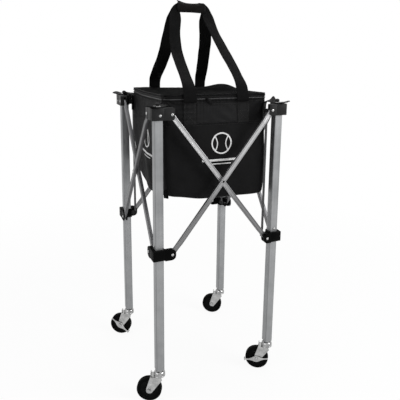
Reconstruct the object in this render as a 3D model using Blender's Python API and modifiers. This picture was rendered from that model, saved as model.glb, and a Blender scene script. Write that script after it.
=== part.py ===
"""Folding four-legged ball cart with a hung fabric bag, modelled piece by piece.

Metres, +Z up. The cart stands on the floor, Z = 0, and the middle of its bounding box is over the
origin. Seen from above, the corners run counter-clockwise from the front left one, and side k runs
from corner k (its left leg, seen from outside) to corner k + 1 (its right leg).
Each side is a scissor: the inner bar runs from the left leg's top to the right leg's slider, and
the outer bar from the right leg's top to the left leg's slider.
"""

import math

import bmesh
import bpy
from mathutils import Matrix, Vector

# Overall layout
LEG_SPACING = 0.3816
TOP_PIVOT_HEIGHT = 0.898
SLIDER_PIVOT_HEIGHT = 0.488
LEFT_PIVOT_OFFSET = 0.036
RIGHT_PIVOT_OFFSET = 0.028
CORNERS = ("front_left", "front_right", "rear_right", "rear_left")
SIDES = ("front", "right", "rear", "left")

# Square aluminium legs
LEG_WIDTH = 0.025
LEG_WALL = 0.0015
LEG_EDGE_RADIUS = 0.002
LEG_BOTTOM = 0.108
LEG_ABOVE_PIVOT = 0.014
LEG_TOP = TOP_PIVOT_HEIGHT + LEG_ABOVE_PIVOT

# Flat scissor bars
BAR_FACE = 0.0145
BAR_THICKNESS = 0.007
BAR_SPACE = 0.0006

# Pivot pins
PIN_RADIUS = 0.0025
PIN_HEAD_RADIUS = 0.0044
PIN_HEAD_HEIGHT = 0.0019
PIN_TAIL_RADIUS = 0.0037
PIN_TAIL_HEIGHT = 0.0013
LEG_RIVET_OFFSET = 0.0018
LEG_RIVET_DROP = 0.002

# Gaps between pieces that touch or turn in each other
SEAT_GAP = 0.0003
SIDE_GAP = 0.0004

# Corner brackets and sliders
JOINT_OUTER = 0.0222
CHEEK = 0.003
BRACKET_WALL = 0.002
BRACKET_BELOW_PIVOT = 0.0155
BRACKET_CAP = 0.0042
BRACKET_WEB = 0.006
BRACKET_LEFT_ARM_END = 0.0075
BRACKET_RIGHT_ARM_END = 0.0098
BRACKET_EDGE = 0.0025
SLIDER_WALL = 0.0028
SLIDER_BELOW_PIVOT = 0.0165
SLIDER_ABOVE_PIVOT = 0.0165
SLIDER_ARM_END = 0.011
SLIDER_LOBE_RADIUS = 0.0125
SLIDER_BODY_LIFT = 0.0025

# Mushroom studs that hold the bag's corner tabs
STUD_SHAFT_RADIUS = 0.004
STUD_SHAFT_HEIGHT = 0.0022
STUD_HEAD_RADIUS = 0.0068
STUD_HEAD_HEIGHT = 0.0085

# Snap buttons
BUTTON_RADIUS = 0.0037
BUTTON_ABOVE_PIVOT = 0.026
BUTTON_HEIGHT = SLIDER_PIVOT_HEIGHT + BUTTON_ABOVE_PIVOT
BUTTON_STAND_OUT = 0.0032
BUTTON_FLANGE_RADIUS = 0.0056
BUTTON_FLANGE = 0.0012

# Casters
WHEEL_RADIUS = 0.039
WHEEL_WIDTH = 0.020
HUB_WIDTH = 0.0224
HUB_RADIUS = 0.0105
AXLE_RADIUS = 0.004
AXLE_HEAD_RADIUS = 0.0066
AXLE_HEAD = 0.0034
CASTER_TRAIL = 0.032
CASTER_YAW = (153.0, 144.0, 149.0, 149.0)
FORK_PLATE = 0.0022
FORK_TOP = 0.086
FORK_AXLE_BOSS = 0.0088
FORK_FRONT_REACH = 0.010
FORK_FRONT_TOP = 0.007
FORK_FRONT_CORNER = 0.0075
FORK_REAR_REACH = 0.0275
FORK_LIP_WIDTH = 0.014
FORK_LIP_HEIGHT = 0.012
CAP_RADIUS = 0.0178
CAP_NECK_RADIUS = 0.0098
CAP_STEM_LENGTH = 0.030

# Brake levers, on two opposite casters
BRAKED = {"front_right": 190.0, "rear_left": -40.0}
BRAKE_PLATE = 0.002
BRAKE_REACH = 0.0405
BRAKE_CENTRE_HALF = 0.011
BRAKE_ARM_HALF = 0.0026
BRAKE_OVAL_REACH = 0.026
BRAKE_TAB_WIDTH = 0.009
BRAKE_TAB_DEPTH = 0.009

# Bag
BAG_HALF = 0.1645
BAG_CORNER = 0.026
BAG_ABOVE_PIVOT = 0.0325
BAG_TOP = TOP_PIVOT_HEIGHT + BAG_ABOVE_PIVOT
BAG_DEPTH = 0.297
BAG_BULGE = 0.0015
BAG_WALL = 0.0025
BAG_FLOOR_RADIUS = 0.030
LID_RIM = 0.007
LID_CROWN = 0.012
TAB_WIDTH = 0.027
TAB_THICKNESS = 0.002
TAB_WING = 0.036
EYELET_RADIUS = 0.0078
EYELET_COLLAR = 0.0006

# Handles
STRAP_THICKNESS = 0.0022
STRAP_FOOT_WIDTH = 0.040
STRAP_TOP_WIDTH = 0.027
STRAP_LEFT = -0.086
STRAP_RIGHT = 0.083
STRAP_BAND_DROP = 0.069
STRAP_BEND = 0.014
GRIP_ABOVE_BAG = 0.274
GRIP_HEIGHT = BAG_TOP + GRIP_ABOVE_BAG
GRIP_LEFT = -0.066
GRIP_RIGHT = 0.028
GRIP_HALF_HEIGHT = 0.0182
GRIP_HALF_DEPTH = 0.0082
ZIP_X = -0.0325
ZIP_BODY = (0.009, 0.0045, 0.007)
ZIP_PULL = (0.005, 0.0015, 0.020)

# Facets
ROUND_STEPS = 20
PIN_STEPS = 8
ARC_STEP = math.radians(30)

HALF_LEG = LEG_WIDTH / 2
SPAN = LEG_SPACING - LEFT_PIVOT_OFFSET - RIGHT_PIVOT_OFFSET
DROP = TOP_PIVOT_HEIGHT - SLIDER_PIVOT_HEIGHT
BAR_LENGTH = math.hypot(SPAN, DROP)
BAR_ANGLE = math.atan2(DROP, SPAN)

# Depths of the bars, measured outwards from the legs' axes
OUTER_BAR_FRONT = JOINT_OUTER - CHEEK - SIDE_GAP
OUTER_BAR_BACK = OUTER_BAR_FRONT - BAR_THICKNESS
INNER_BAR_FRONT = OUTER_BAR_BACK - BAR_SPACE
INNER_BAR_BACK = INNER_BAR_FRONT - BAR_THICKNESS

COLLECTION = bpy.data.collections.new("padel_ball_cart")
CUTTERS = bpy.data.collections.new("cutters")


def clear_scene():
    """Remove whatever the scene holds and add the two collections."""
    for old in list(bpy.data.objects):
        bpy.data.objects.remove(old, do_unlink=True)
    for collection in (COLLECTION, CUTTERS):
        bpy.context.scene.collection.children.link(collection)


def material(name, colour, roughness, metallic=0.0):
    """Return a Principled material."""
    made = bpy.data.materials.new(name)
    made.use_nodes = True
    shader = made.node_tree.nodes["Principled BSDF"]
    shader.inputs["Base Color"].default_value = (*colour, 1.0)
    shader.inputs["Roughness"].default_value = roughness
    shader.inputs["Metallic"].default_value = metallic
    return made


def work_object(name, mesh):
    """Put a mesh on a working object among the cutters."""
    made = bpy.data.objects.new(name, mesh)
    made.hide_render = True
    made.display_type = "WIRE"
    CUTTERS.objects.link(made)
    return made


def box(low, high, edge=0.0, edge_axis=2, steps=2):
    """Box between two corners. The edges along edge_axis are rounded when edge is given."""
    mesh = bpy.data.meshes.new("box")
    shape = bmesh.new()
    bmesh.ops.create_cube(shape, size=1.0)
    size = [h - l for l, h in zip(low, high)]
    middle = [(h + l) / 2 for l, h in zip(low, high)]
    bmesh.ops.scale(shape, vec=size, verts=shape.verts)
    bmesh.ops.translate(shape, vec=middle, verts=shape.verts)
    if edge:
        along = [e for e in shape.edges
                 if abs((e.verts[0].co - e.verts[1].co)[edge_axis]) > size[edge_axis] / 2]
        bmesh.ops.bevel(shape, geom=along, offset=edge, segments=steps, profile=0.5, affect="EDGES")
    shape.to_mesh(mesh)
    shape.free()
    return work_object("box", mesh)


def cylinder(radius, start, end, steps=PIN_STEPS):
    """Cylinder between two points."""
    mesh = bpy.data.meshes.new("cylinder")
    shape = bmesh.new()
    run = Vector(end) - Vector(start)
    bmesh.ops.create_cone(shape, cap_ends=True, segments=steps, radius1=radius, radius2=radius,
                          depth=run.length)
    turn = Vector((0, 0, 1)).rotation_difference(run.normalized()).to_matrix().to_4x4()
    middle = (Vector(start) + Vector(end)) / 2
    bmesh.ops.transform(shape, matrix=Matrix.Translation(middle) @ turn, verts=shape.verts)
    shape.to_mesh(mesh)
    shape.free()
    return work_object("cylinder", mesh)


def turned(profile, steps=ROUND_STEPS):
    """Turned shape about Z. The profile lists (radius, height) from the top down its outer side."""
    mesh = bpy.data.meshes.new("profile")
    points = [(radius, 0.0, height) for radius, height in profile]
    mesh.from_pydata(points, [(i, i + 1) for i in range(len(points) - 1)], [])
    made = work_object("turned", mesh)
    screw = made.modifiers.new("turn", "SCREW")
    screw.steps = steps
    screw.render_steps = steps
    screw.use_merge_vertices = True
    screw.merge_threshold = 0.0001
    return baked(made)


def rounded(corners):
    """Outline through (x, y, radius) corners in counter-clockwise order, with arcs at the corners."""
    points = []
    count = len(corners)
    for i, (x, y, radius) in enumerate(corners):
        here = Vector((x, y))
        before = Vector(corners[i - 1][:2])
        after = Vector(corners[(i + 1) % count][:2])
        if radius == 0:
            points.append(here)
            continue
        to_before = (before - here).normalized()
        to_after = (after - here).normalized()
        half = math.acos(max(-1.0, min(1.0, to_before.dot(to_after)))) / 2
        centre = here + (to_before + to_after).normalized() * (radius / math.sin(half))
        start = here + to_before * (radius / math.tan(half)) - centre
        sweep = math.pi - 2 * half
        side = 1.0 if to_before.cross(to_after) < 0 else -1.0
        steps = max(1, round(sweep / ARC_STEP))
        for step in range(steps + 1):
            angle = side * sweep * step / steps
            points.append(centre + Matrix.Rotation(angle, 2) @ start)
    return points


def plate(outline, thickness, edge=0.0):
    """Flat plate: the outline lies in XY, the thickness is centred on Z = 0."""
    curve = bpy.data.curves.new("outline", "CURVE")
    curve.dimensions = "2D"
    curve.fill_mode = "BOTH"
    curve.extrude = thickness / 2 - edge
    curve.bevel_depth = edge
    curve.bevel_resolution = 0
    curve.offset = -edge
    spline = curve.splines.new("POLY")
    spline.points.add(len(outline) - 1)
    for point, place in zip(spline.points, outline):
        point.co = (place[0], place[1], 0.0, 1.0)
    spline.use_cyclic_u = True
    return baked(work_object("plate", curve))


def baked(made):
    """Replace a curve or a modified object by one plain mesh object, with its caps welded."""
    graph = bpy.context.evaluated_depsgraph_get()
    mesh = bpy.data.meshes.new_from_object(made.evaluated_get(graph), depsgraph=graph)
    shape = bmesh.new()
    shape.from_mesh(mesh)
    bmesh.ops.remove_doubles(shape, verts=shape.verts, dist=0.00001)
    bmesh.ops.recalc_face_normals(shape, faces=shape.faces)
    shape.to_mesh(mesh)
    shape.free()
    fresh = work_object("baked", mesh)
    fresh.matrix_world = made.matrix_world
    bpy.data.objects.remove(made, do_unlink=True)
    return fresh


def moved(made, matrix):
    """Move a working object's mesh by a matrix."""
    made.data.transform(matrix)
    return made


def combine(made, others, operation):
    """Join or cut a working object by others, which are used up."""
    for other in others:
        step = made.modifiers.new("combine", "BOOLEAN")
        step.operation = operation
        step.solver = "EXACT"
        step.object = other
        made = baked(made)
        bpy.data.objects.remove(other, do_unlink=True)
    return made


def finished(made, smooth_angle=40.0):
    """Take the finished mesh off its working object, shaded smooth up to an angle."""
    mesh = made.data
    bpy.data.objects.remove(made, do_unlink=True)
    mesh.shade_smooth()
    mesh.set_sharp_from_angle(angle=math.radians(smooth_angle))
    return mesh


def empty(name, matrix, parent=None):
    """Empty that marks a joint's axis or a body's place."""
    made = bpy.data.objects.new(name, None)
    made.empty_display_size = 0.02
    COLLECTION.objects.link(made)
    place(made, matrix, parent)
    return made


def place(made, matrix, parent):
    """Set an object's place in the cart, under its parent."""
    if parent is None:
        made.matrix_basis = matrix
    else:
        made.parent = parent
        made.matrix_basis = cart_matrix(parent).inverted() @ matrix


def cart_matrix(made):
    """Place of an object in the cart, worked out up the chain of its parents."""
    if made.parent is None:
        return made.matrix_basis.copy()
    return cart_matrix(made.parent) @ made.matrix_basis


def piece(name, mesh, matrix, parent, look):
    """Named sub-part with its own object, at its place in the cart."""
    made = bpy.data.objects.new(name, mesh)
    COLLECTION.objects.link(made)
    made.color = (*look.diffuse_color[:3], 1.0)
    if not mesh.materials:
        mesh.materials.append(look)
    place(made, matrix, parent)
    return made


def turn_z(degrees):
    """Turn about the upright axis."""
    return Matrix.Rotation(math.radians(degrees), 4, "Z")


def shift(x, y, z):
    """Shift as a matrix."""
    return Matrix.Translation((x, y, z))


def side_frame(index):
    """Frame of side k: X to the right and Y inwards, seen from outside, Z = 0 on the floor."""
    return turn_z(90.0 * index)


def corner_frame(index):
    """Frame of corner k, on its leg's axis: X towards the right-hand side, Y towards the left."""
    return side_frame(index) @ shift(-LEG_SPACING / 2, -LEG_SPACING / 2, 0.0)


def leg_mesh():
    """Square tube with rounded edges and the hole of its snap button."""
    tube = box((-HALF_LEG, -HALF_LEG, LEG_BOTTOM), (HALF_LEG, HALF_LEG, LEG_TOP), LEG_EDGE_RADIUS,
               steps=1)
    inner = HALF_LEG - LEG_WALL
    bore = box((-inner, -inner, LEG_BOTTOM - LEG_WIDTH), (inner, inner, LEG_TOP + LEG_WIDTH))
    hole = cylinder(BUTTON_RADIUS + SEAT_GAP, (-LEG_WIDTH, 0, BUTTON_HEIGHT), (0, 0, BUTTON_HEIGHT), 10)
    rivet = moved(rivet_hole(), shift(0, 0, TOP_PIVOT_HEIGHT))
    return finished(combine(tube, (bore, hole, rivet), "DIFFERENCE"))


def rivet_hole():
    """Cutter for the rivet that holds a bracket on its leg. Z = 0 at the top pivots."""
    return cylinder(PIN_RADIUS + SEAT_GAP, (LEG_RIVET_OFFSET, -LEG_WIDTH, -LEG_RIVET_DROP),
                    (LEG_RIVET_OFFSET, 0, -LEG_RIVET_DROP))


def arm(start, end, below, above, depth_back, far_low, far_high):
    """Solid arm in the plane of a side: X outwards from the leg, -Y to the joint's outer face."""
    outline = rounded([(start, -below, 0.0), (end, -below, far_low), (end, above, far_high),
                       (start, above, 0.0)])
    depth = JOINT_OUTER - depth_back
    made = plate(outline, depth)
    stand_up = Matrix.Rotation(math.radians(90), 4, "X")
    return moved(made, shift(0, -(JOINT_OUTER + depth_back) / 2, 0) @ stand_up)


def to_right_arm(made):
    """Carry an arm made along X into the one that runs along Y, on the corner's other face."""
    mirror = Matrix(((0, 1, 0, 0), (1, 0, 0, 0), (0, 0, 1, 0), (0, 0, 0, 1)))
    made.data.transform(mirror)
    made.data.flip_normals()
    return made


def slot(start, end, low, high, bar_front, bar_back):
    """Cutter for a bar's slot in an arm."""
    return box((start, -bar_front - SIDE_GAP, low), (end, -bar_back + SIDE_GAP, high))


def pin_hole(offset):
    """Cutter for a pivot pin's hole across an arm."""
    return cylinder(PIN_RADIUS + SEAT_GAP, (offset, -LEG_WIDTH * 1.5, 0), (offset, LEG_WIDTH, 0))


def bracket_mesh():
    """Corner bracket: a capped socket on the leg, two slotted arms and a mushroom stud."""
    inner = HALF_LEG + SEAT_GAP + BRACKET_WALL
    leg_end = LEG_TOP - TOP_PIVOT_HEIGHT
    top = leg_end + SEAT_GAP + BRACKET_CAP
    body = box((-JOINT_OUTER, -JOINT_OUTER, -BRACKET_BELOW_PIVOT), (inner, inner, top), BRACKET_EDGE)
    root = inner - BRACKET_WALL / 2
    left_end = LEFT_PIVOT_OFFSET + BRACKET_LEFT_ARM_END
    right_end = RIGHT_PIVOT_OFFSET + BRACKET_RIGHT_ARM_END
    inner_back = INNER_BAR_BACK - SIDE_GAP - CHEEK
    outer_back = OUTER_BAR_BACK - SIDE_GAP - CHEEK
    left_arm = arm(root, left_end, BRACKET_BELOW_PIVOT, top, inner_back, 0.006, 0.003)
    right_arm = arm(root, right_end, BRACKET_BELOW_PIVOT, top, outer_back, 0.009, 0.003)
    body = combine(body, (left_arm, to_right_arm(right_arm)), "UNION")
    socket = HALF_LEG + SEAT_GAP
    low = -BRACKET_BELOW_PIVOT * 2
    leg_socket = box((-socket, -socket, low), (socket, socket, leg_end + SEAT_GAP))
    web = top - BRACKET_WEB
    beyond = left_end + LEG_WIDTH
    left_slot = slot(inner + SIDE_GAP, beyond, low, web, INNER_BAR_FRONT, INNER_BAR_BACK)
    right_slot = slot(inner + SIDE_GAP, beyond, low, web, OUTER_BAR_FRONT, OUTER_BAR_BACK)
    cuts = (leg_socket, left_slot, to_right_arm(right_slot), pin_hole(LEFT_PIVOT_OFFSET),
            to_right_arm(pin_hole(RIGHT_PIVOT_OFFSET)), rivet_hole())
    body = combine(body, cuts, "DIFFERENCE")
    head_low = top + TAB_THICKNESS + 2 * EYELET_COLLAR + SEAT_GAP + STUD_SHAFT_HEIGHT
    head_top = head_low + STUD_HEAD_HEIGHT
    stud = turned(((0.0, head_top), (STUD_HEAD_RADIUS * 0.6, head_top - STUD_HEAD_HEIGHT * 0.08),
                   (STUD_HEAD_RADIUS, head_top - STUD_HEAD_HEIGHT * 0.45),
                   (STUD_HEAD_RADIUS * 0.93, head_low), (STUD_SHAFT_RADIUS, head_low),
                   (STUD_SHAFT_RADIUS, top - BRACKET_CAP / 2), (0.0, top - BRACKET_CAP / 2)), 10)
    return finished(combine(body, (stud,), "UNION"))


def slider_mesh():
    """Sliding collar with two lobed arms, each slotted for a bar's lower end."""
    inner = HALF_LEG + SIDE_GAP + SLIDER_WALL
    low = -SLIDER_BELOW_PIVOT
    high = SLIDER_ABOVE_PIVOT
    body = box((-JOINT_OUTER, -JOINT_OUTER, low + SLIDER_BODY_LIFT), (inner, inner, high),
               BRACKET_EDGE)
    root = inner - SLIDER_WALL / 2
    left_end = LEFT_PIVOT_OFFSET + SLIDER_ARM_END
    right_end = RIGHT_PIVOT_OFFSET + SLIDER_ARM_END
    outer_back = OUTER_BAR_BACK - SIDE_GAP - CHEEK
    inner_back = INNER_BAR_BACK - SIDE_GAP - CHEEK
    lobe = SLIDER_LOBE_RADIUS
    left_arm = arm(root, left_end, -low, high, outer_back, lobe, lobe)
    right_arm = arm(root, right_end, -low, high, inner_back, lobe, lobe)
    body = combine(body, (left_arm, to_right_arm(right_arm)), "UNION")
    hole = HALF_LEG + SIDE_GAP
    tall = SLIDER_ABOVE_PIVOT * 2
    leg_hole = box((-hole, -hole, -tall), (hole, hole, tall))
    beyond = left_end + LEG_WIDTH
    start = inner + SIDE_GAP
    left_slot = slot(start, beyond, -tall, tall, OUTER_BAR_FRONT, OUTER_BAR_BACK)
    right_slot = slot(start, beyond, -tall, tall, INNER_BAR_FRONT, INNER_BAR_BACK)
    cuts = (leg_hole, left_slot, to_right_arm(right_slot), pin_hole(LEFT_PIVOT_OFFSET),
            to_right_arm(pin_hole(RIGHT_PIVOT_OFFSET)))
    return finished(combine(body, cuts, "DIFFERENCE"))


def bar_mesh(outer):
    """Round-ended flat bar along X from its top pivot, with its two pivot rivets and a middle hole."""
    half = BAR_FACE / 2
    outline = rounded([(-half, -half, half * 0.99), (BAR_LENGTH + half, -half, half * 0.99),
                       (BAR_LENGTH + half, half, half * 0.99), (-half, half, half * 0.99)])
    front, back = (OUTER_BAR_FRONT, OUTER_BAR_BACK) if outer else (INNER_BAR_FRONT, INNER_BAR_BACK)
    stand_up = shift(0, -(front + back) / 2, 0) @ Matrix.Rotation(math.radians(90), 4, "X")
    bar = moved(plate(outline, BAR_THICKNESS), stand_up)
    tail = back - SIDE_GAP - CHEEK
    pins = (pin(JOINT_OUTER, tail), moved(pin(JOINT_OUTER, tail), shift(BAR_LENGTH, 0, 0)))
    bar = combine(bar, pins, "UNION")
    middle = BAR_LENGTH / 2
    hole = cylinder(PIN_RADIUS + SEAT_GAP, (middle, -LEG_WIDTH, 0), (middle, LEG_WIDTH, 0))
    return finished(combine(bar, (hole,), "DIFFERENCE"))


def pin(front, back):
    """Pin along Y with a domed head outside depth front and a flat tail inside depth back."""
    head = front + SEAT_GAP
    tail = back - SEAT_GAP
    profile = ((0.0, head + PIN_HEAD_HEIGHT), (PIN_HEAD_RADIUS, head), (PIN_RADIUS, head),
               (PIN_RADIUS, tail), (PIN_TAIL_RADIUS, tail), (0.0, tail - PIN_TAIL_HEIGHT))
    return moved(turned(profile, PIN_STEPS), Matrix.Rotation(math.radians(90), 4, "X"))


def button_mesh():
    """Snap button along -X through the leg's wall, with a flange inside the tube."""
    inside = HALF_LEG - LEG_WALL - SEAT_GAP
    tip = HALF_LEG + BUTTON_STAND_OUT
    profile = ((0.0, tip), (BUTTON_RADIUS, tip - 0.0012), (BUTTON_RADIUS, inside), (BUTTON_FLANGE_RADIUS, inside),
               (BUTTON_FLANGE_RADIUS, inside - BUTTON_FLANGE), (0.0, inside - BUTTON_FLANGE))
    return finished(moved(turned(profile, 10), Matrix.Rotation(math.radians(-90), 4, "Y")))


def cap_mesh():
    """Domed swivel housing with its stem in the leg's tube. Z = 0 on the floor."""
    under = FORK_TOP + SEAT_GAP
    neck = LEG_BOTTOM - SEAT_GAP
    dome = neck - under
    stem = HALF_LEG - LEG_WALL - SEAT_GAP
    profile = [(0.0, neck + CAP_STEM_LENGTH), (stem, neck + CAP_STEM_LENGTH), (stem, neck),
               (HALF_LEG * 0.96, neck),
               (CAP_NECK_RADIUS, neck - 0.003)]
    reach = CAP_RADIUS - CAP_NECK_RADIUS
    for step in range(1, 4):
        angle = math.radians(90 - 30 * step)
        profile.append((CAP_NECK_RADIUS + reach * math.cos(angle),
                        under + 0.003 + (dome - 0.0065) * math.sin(angle)))
    profile += [(CAP_RADIUS * 0.97, under), (0.0, under)]
    return finished(turned(profile, 16))


def fork_mesh():
    """Caster fork about the swivel axis, trailing towards +X: a crown and two tapering plates."""
    half = HUB_WIDTH / 2 + SIDE_GAP + FORK_PLATE
    crown_outline = rounded([(-FORK_FRONT_TOP, -half, 0.005), (FORK_REAR_REACH, -half, 0.003),
                             (FORK_REAR_REACH, half, 0.003), (-FORK_FRONT_TOP, half, 0.005)])
    crown = moved(plate(crown_outline, FORK_PLATE), shift(0, 0, FORK_TOP - FORK_PLATE / 2))
    lip = box((FORK_REAR_REACH - FORK_PLATE, -FORK_LIP_WIDTH / 2, FORK_TOP - FORK_PLATE * 0.6),
              (FORK_REAR_REACH - FORK_PLATE * 0.1, FORK_LIP_WIDTH / 2, FORK_TOP + FORK_LIP_HEIGHT), 0.003, 0)
    top = FORK_TOP - FORK_PLATE / 2
    axle = WHEEL_RADIUS
    boss = FORK_AXLE_BOSS
    side_outline = rounded([
        (CASTER_TRAIL - boss * 0.9, axle - boss, boss * 0.8), (CASTER_TRAIL + boss, axle - boss, boss * 0.95),
        (CASTER_TRAIL + boss * 0.8, axle + boss, 0.004), (FORK_REAR_REACH, top, 0.0),
        (-FORK_FRONT_TOP, top, 0.0), (-FORK_FRONT_REACH, top - FORK_FRONT_CORNER, 0.003)])
    plates = []
    for side in (-1, 1):
        middle = side * (half - FORK_PLATE / 2)
        stand_up = Matrix.Rotation(math.radians(90), 4, "X")
        plates.append(moved(plate(side_outline, FORK_PLATE), shift(0, middle, 0) @ stand_up))
    fork = combine(crown, [lip] + plates, "UNION")
    hole = cylinder(AXLE_RADIUS + SEAT_GAP, (CASTER_TRAIL, -half * 2, axle), (CASTER_TRAIL, half * 2, axle))
    return finished(combine(fork, (hole,), "DIFFERENCE"))


def wheel_mesh():
    """Caster wheel about Y: a rounded tread, recessed webs and a hub with its bore."""
    tread = WHEEL_WIDTH / 2
    hub = HUB_WIDTH / 2 - SIDE_GAP / 2
    web = WHEEL_WIDTH * 0.28
    bore = AXLE_RADIUS + SEAT_GAP
    rim = WHEEL_RADIUS * 0.76
    half_profile = [(bore, hub), (HUB_RADIUS, hub), (HUB_RADIUS + 0.001, web), (rim, web),
                    (rim + 0.0015, tread), (WHEEL_RADIUS * 0.95, tread), (WHEEL_RADIUS, tread * 0.55)]
    lower = [(radius, -height) for radius, height in reversed(half_profile)]
    profile = half_profile + lower + [half_profile[0]]
    wheel = turned(profile)
    return finished(moved(wheel, Matrix.Rotation(math.radians(90), 4, "X")))


def axle_mesh(braked):
    """Axle bolt along Y with a hexagonal head and nut outside the fork, or outside the lever."""
    fork = HUB_WIDTH / 2 + SIDE_GAP + FORK_PLATE + SEAT_GAP
    near = fork + (BRAKE_PLATE + 2 * SEAT_GAP if braked else 0.0)
    shank = cylinder(AXLE_RADIUS, (0, -fork - AXLE_HEAD / 2, 0), (0, near + AXLE_HEAD / 2, 0))
    head = cylinder(AXLE_HEAD_RADIUS, (0, near, 0), (0, near + AXLE_HEAD, 0), 6)
    nut = cylinder(AXLE_HEAD_RADIUS, (0, -fork - AXLE_HEAD, 0), (0, -fork, 0), 6)
    return finished(combine(shank, (head, nut), "UNION"))


def brake_mesh():
    """Rocker lever about the axle: an oval centre, two slim arms and one bent tab."""
    near = HUB_WIDTH / 2 + 2 * SIDE_GAP + FORK_PLATE + SEAT_GAP
    upper = [(-BRAKE_REACH, BRAKE_ARM_HALF * 0.8)]
    for step in range(-3, 4):
        swell = (BRAKE_CENTRE_HALF - BRAKE_ARM_HALF) * math.cos(step * math.pi / 6) ** 2
        upper.append((BRAKE_OVAL_REACH * step / 3, BRAKE_ARM_HALF + swell))
    upper.append((BRAKE_REACH, BRAKE_ARM_HALF * 0.8))
    outline = [(x, -y) for x, y in upper] + upper[::-1]
    lever = plate(outline, BRAKE_PLATE)
    stand_up = Matrix.Rotation(math.radians(90), 4, "X")
    moved(lever, shift(0, near + BRAKE_PLATE / 2, 0) @ stand_up)
    outer = near + BRAKE_PLATE * 0.9
    tab = box((-BRAKE_REACH - BRAKE_PLATE, outer - BRAKE_TAB_DEPTH, -BRAKE_TAB_WIDTH / 2),
              (-BRAKE_REACH + BRAKE_PLATE * 0.4, outer, BRAKE_TAB_WIDTH / 2), 0.0015, 1)
    lever = combine(lever, (tab,), "UNION")
    turning_radius = (AXLE_RADIUS + SEAT_GAP) / math.cos(math.pi / PIN_STEPS)
    hole = cylinder(turning_radius, (0, 0, 0), (0, near * 2, 0))
    return finished(combine(lever, (hole,), "DIFFERENCE"))


def square_ring(half, corner, height):
    """Points of a square with round corners, counter-clockwise, at one height."""
    corner = min(corner, half * 0.98)
    points = []
    for quarter in range(4):
        for step in range(4):
            angle = math.radians(90 * quarter + 30 * step)
            middle = Matrix.Rotation(math.radians(90 * quarter), 2) @ Vector((1.0, 1.0)) * (half - corner)
            points.append((middle.x + corner * math.cos(angle), middle.y + corner * math.sin(angle), height))
    return points


def loft(rings, wall):
    """Open surface through rings of equal counts, closed by a point at its end, given a wall."""
    mesh = bpy.data.meshes.new("loft")
    shape = bmesh.new()
    rows = [[shape.verts.new(point) for point in ring] for ring in rings[:-1]]
    count = len(rows[0])
    for upper, lower in zip(rows, rows[1:]):
        for i in range(count):
            j = (i + 1) % count
            shape.faces.new((upper[i], lower[i], lower[j], upper[j]))
    tip = shape.verts.new(rings[-1])
    for i in range(count):
        shape.faces.new((rows[-1][i], tip, rows[-1][(i + 1) % count]))
    bmesh.ops.recalc_face_normals(shape, faces=shape.faces)
    shape.to_mesh(mesh)
    shape.free()
    made = work_object("loft", mesh)
    solid = made.modifiers.new("wall", "SOLIDIFY")
    solid.thickness = wall
    solid.offset = -1.0
    return baked(made)


def bag_mesh():
    """Bag shell, open at the top, with upright walls that bulge a little and a rounded floor."""
    rings = []
    wall_height = BAG_DEPTH - BAG_FLOOR_RADIUS
    for step in range(5):
        share = step / 4
        half = BAG_HALF + BAG_BULGE * math.sin(share * math.pi)
        rings.append(square_ring(half, BAG_CORNER, BAG_TOP - wall_height * share))
    floor = BAG_TOP - wall_height
    for step in range(1, 4):
        angle = math.radians(30 * step)
        half = BAG_HALF - BAG_FLOOR_RADIUS * (1 - math.cos(angle))
        rings.append(square_ring(half, BAG_CORNER, floor - BAG_FLOOR_RADIUS * 0.8 * math.sin(angle)))
    rings.append(square_ring(BAG_HALF * 0.45, BAG_CORNER, floor - BAG_FLOOR_RADIUS * 0.95))
    rings.append((0.0, 0.0, BAG_TOP - BAG_DEPTH))
    return finished(loft(rings, BAG_WALL))


def lid_mesh():
    """Lid with a low rim and a crown, hinged at its rear edge. Its origin is on the hinge."""
    low = BAG_TOP + SEAT_GAP
    rim = low + LID_RIM
    rings = [square_ring(BAG_HALF, BAG_CORNER, low), square_ring(BAG_HALF, BAG_CORNER, rim - 0.002),
             square_ring(BAG_HALF - 0.003, BAG_CORNER, rim)]
    for share in (0.75, 0.4):
        crown = LID_CROWN * math.cos(share * math.pi / 2)
        rings.append(square_ring(BAG_HALF * share, BAG_CORNER, rim + crown))
    rings.append((0.0, 0.0, rim + LID_CROWN))
    lid = loft(rings, BAG_WALL)
    return finished(moved(lid, lid_hinge().inverted()))


def lid_hinge():
    """Place of the lid's hinge, along the bag's rear edge."""
    return shift(0.0, BAG_HALF, BAG_TOP + SEAT_GAP)


def tab_mesh():
    """Stiff corner tab about a stud, X along the diagonal to the bag, with its pressed eyelet."""
    bag_edge = (BAG_HALF - BAG_CORNER) * math.sqrt(2) + BAG_CORNER
    inner = LEG_SPACING / math.sqrt(2) - bag_edge - SEAT_GAP
    half = TAB_WIDTH / 2
    outline = rounded([(-TAB_WING, -half, 0.006), (inner, -half, 0.0), (inner, half, 0.0),
                       (-TAB_WING, half, 0.006)])
    face = TAB_THICKNESS / 2
    collars = cylinder(EYELET_RADIUS, (0, 0, -face - EYELET_COLLAR), (0, 0, face + EYELET_COLLAR), 10)
    tab = combine(plate(outline, TAB_THICKNESS), (collars,), "UNION")
    bore = cylinder(STUD_SHAFT_RADIUS + 2 * SEAT_GAP, (0, 0, -TAB_THICKNESS), (0, 0, TAB_THICKNESS), 10)
    return finished(combine(tab, (bore,), "DIFFERENCE"))


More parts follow.
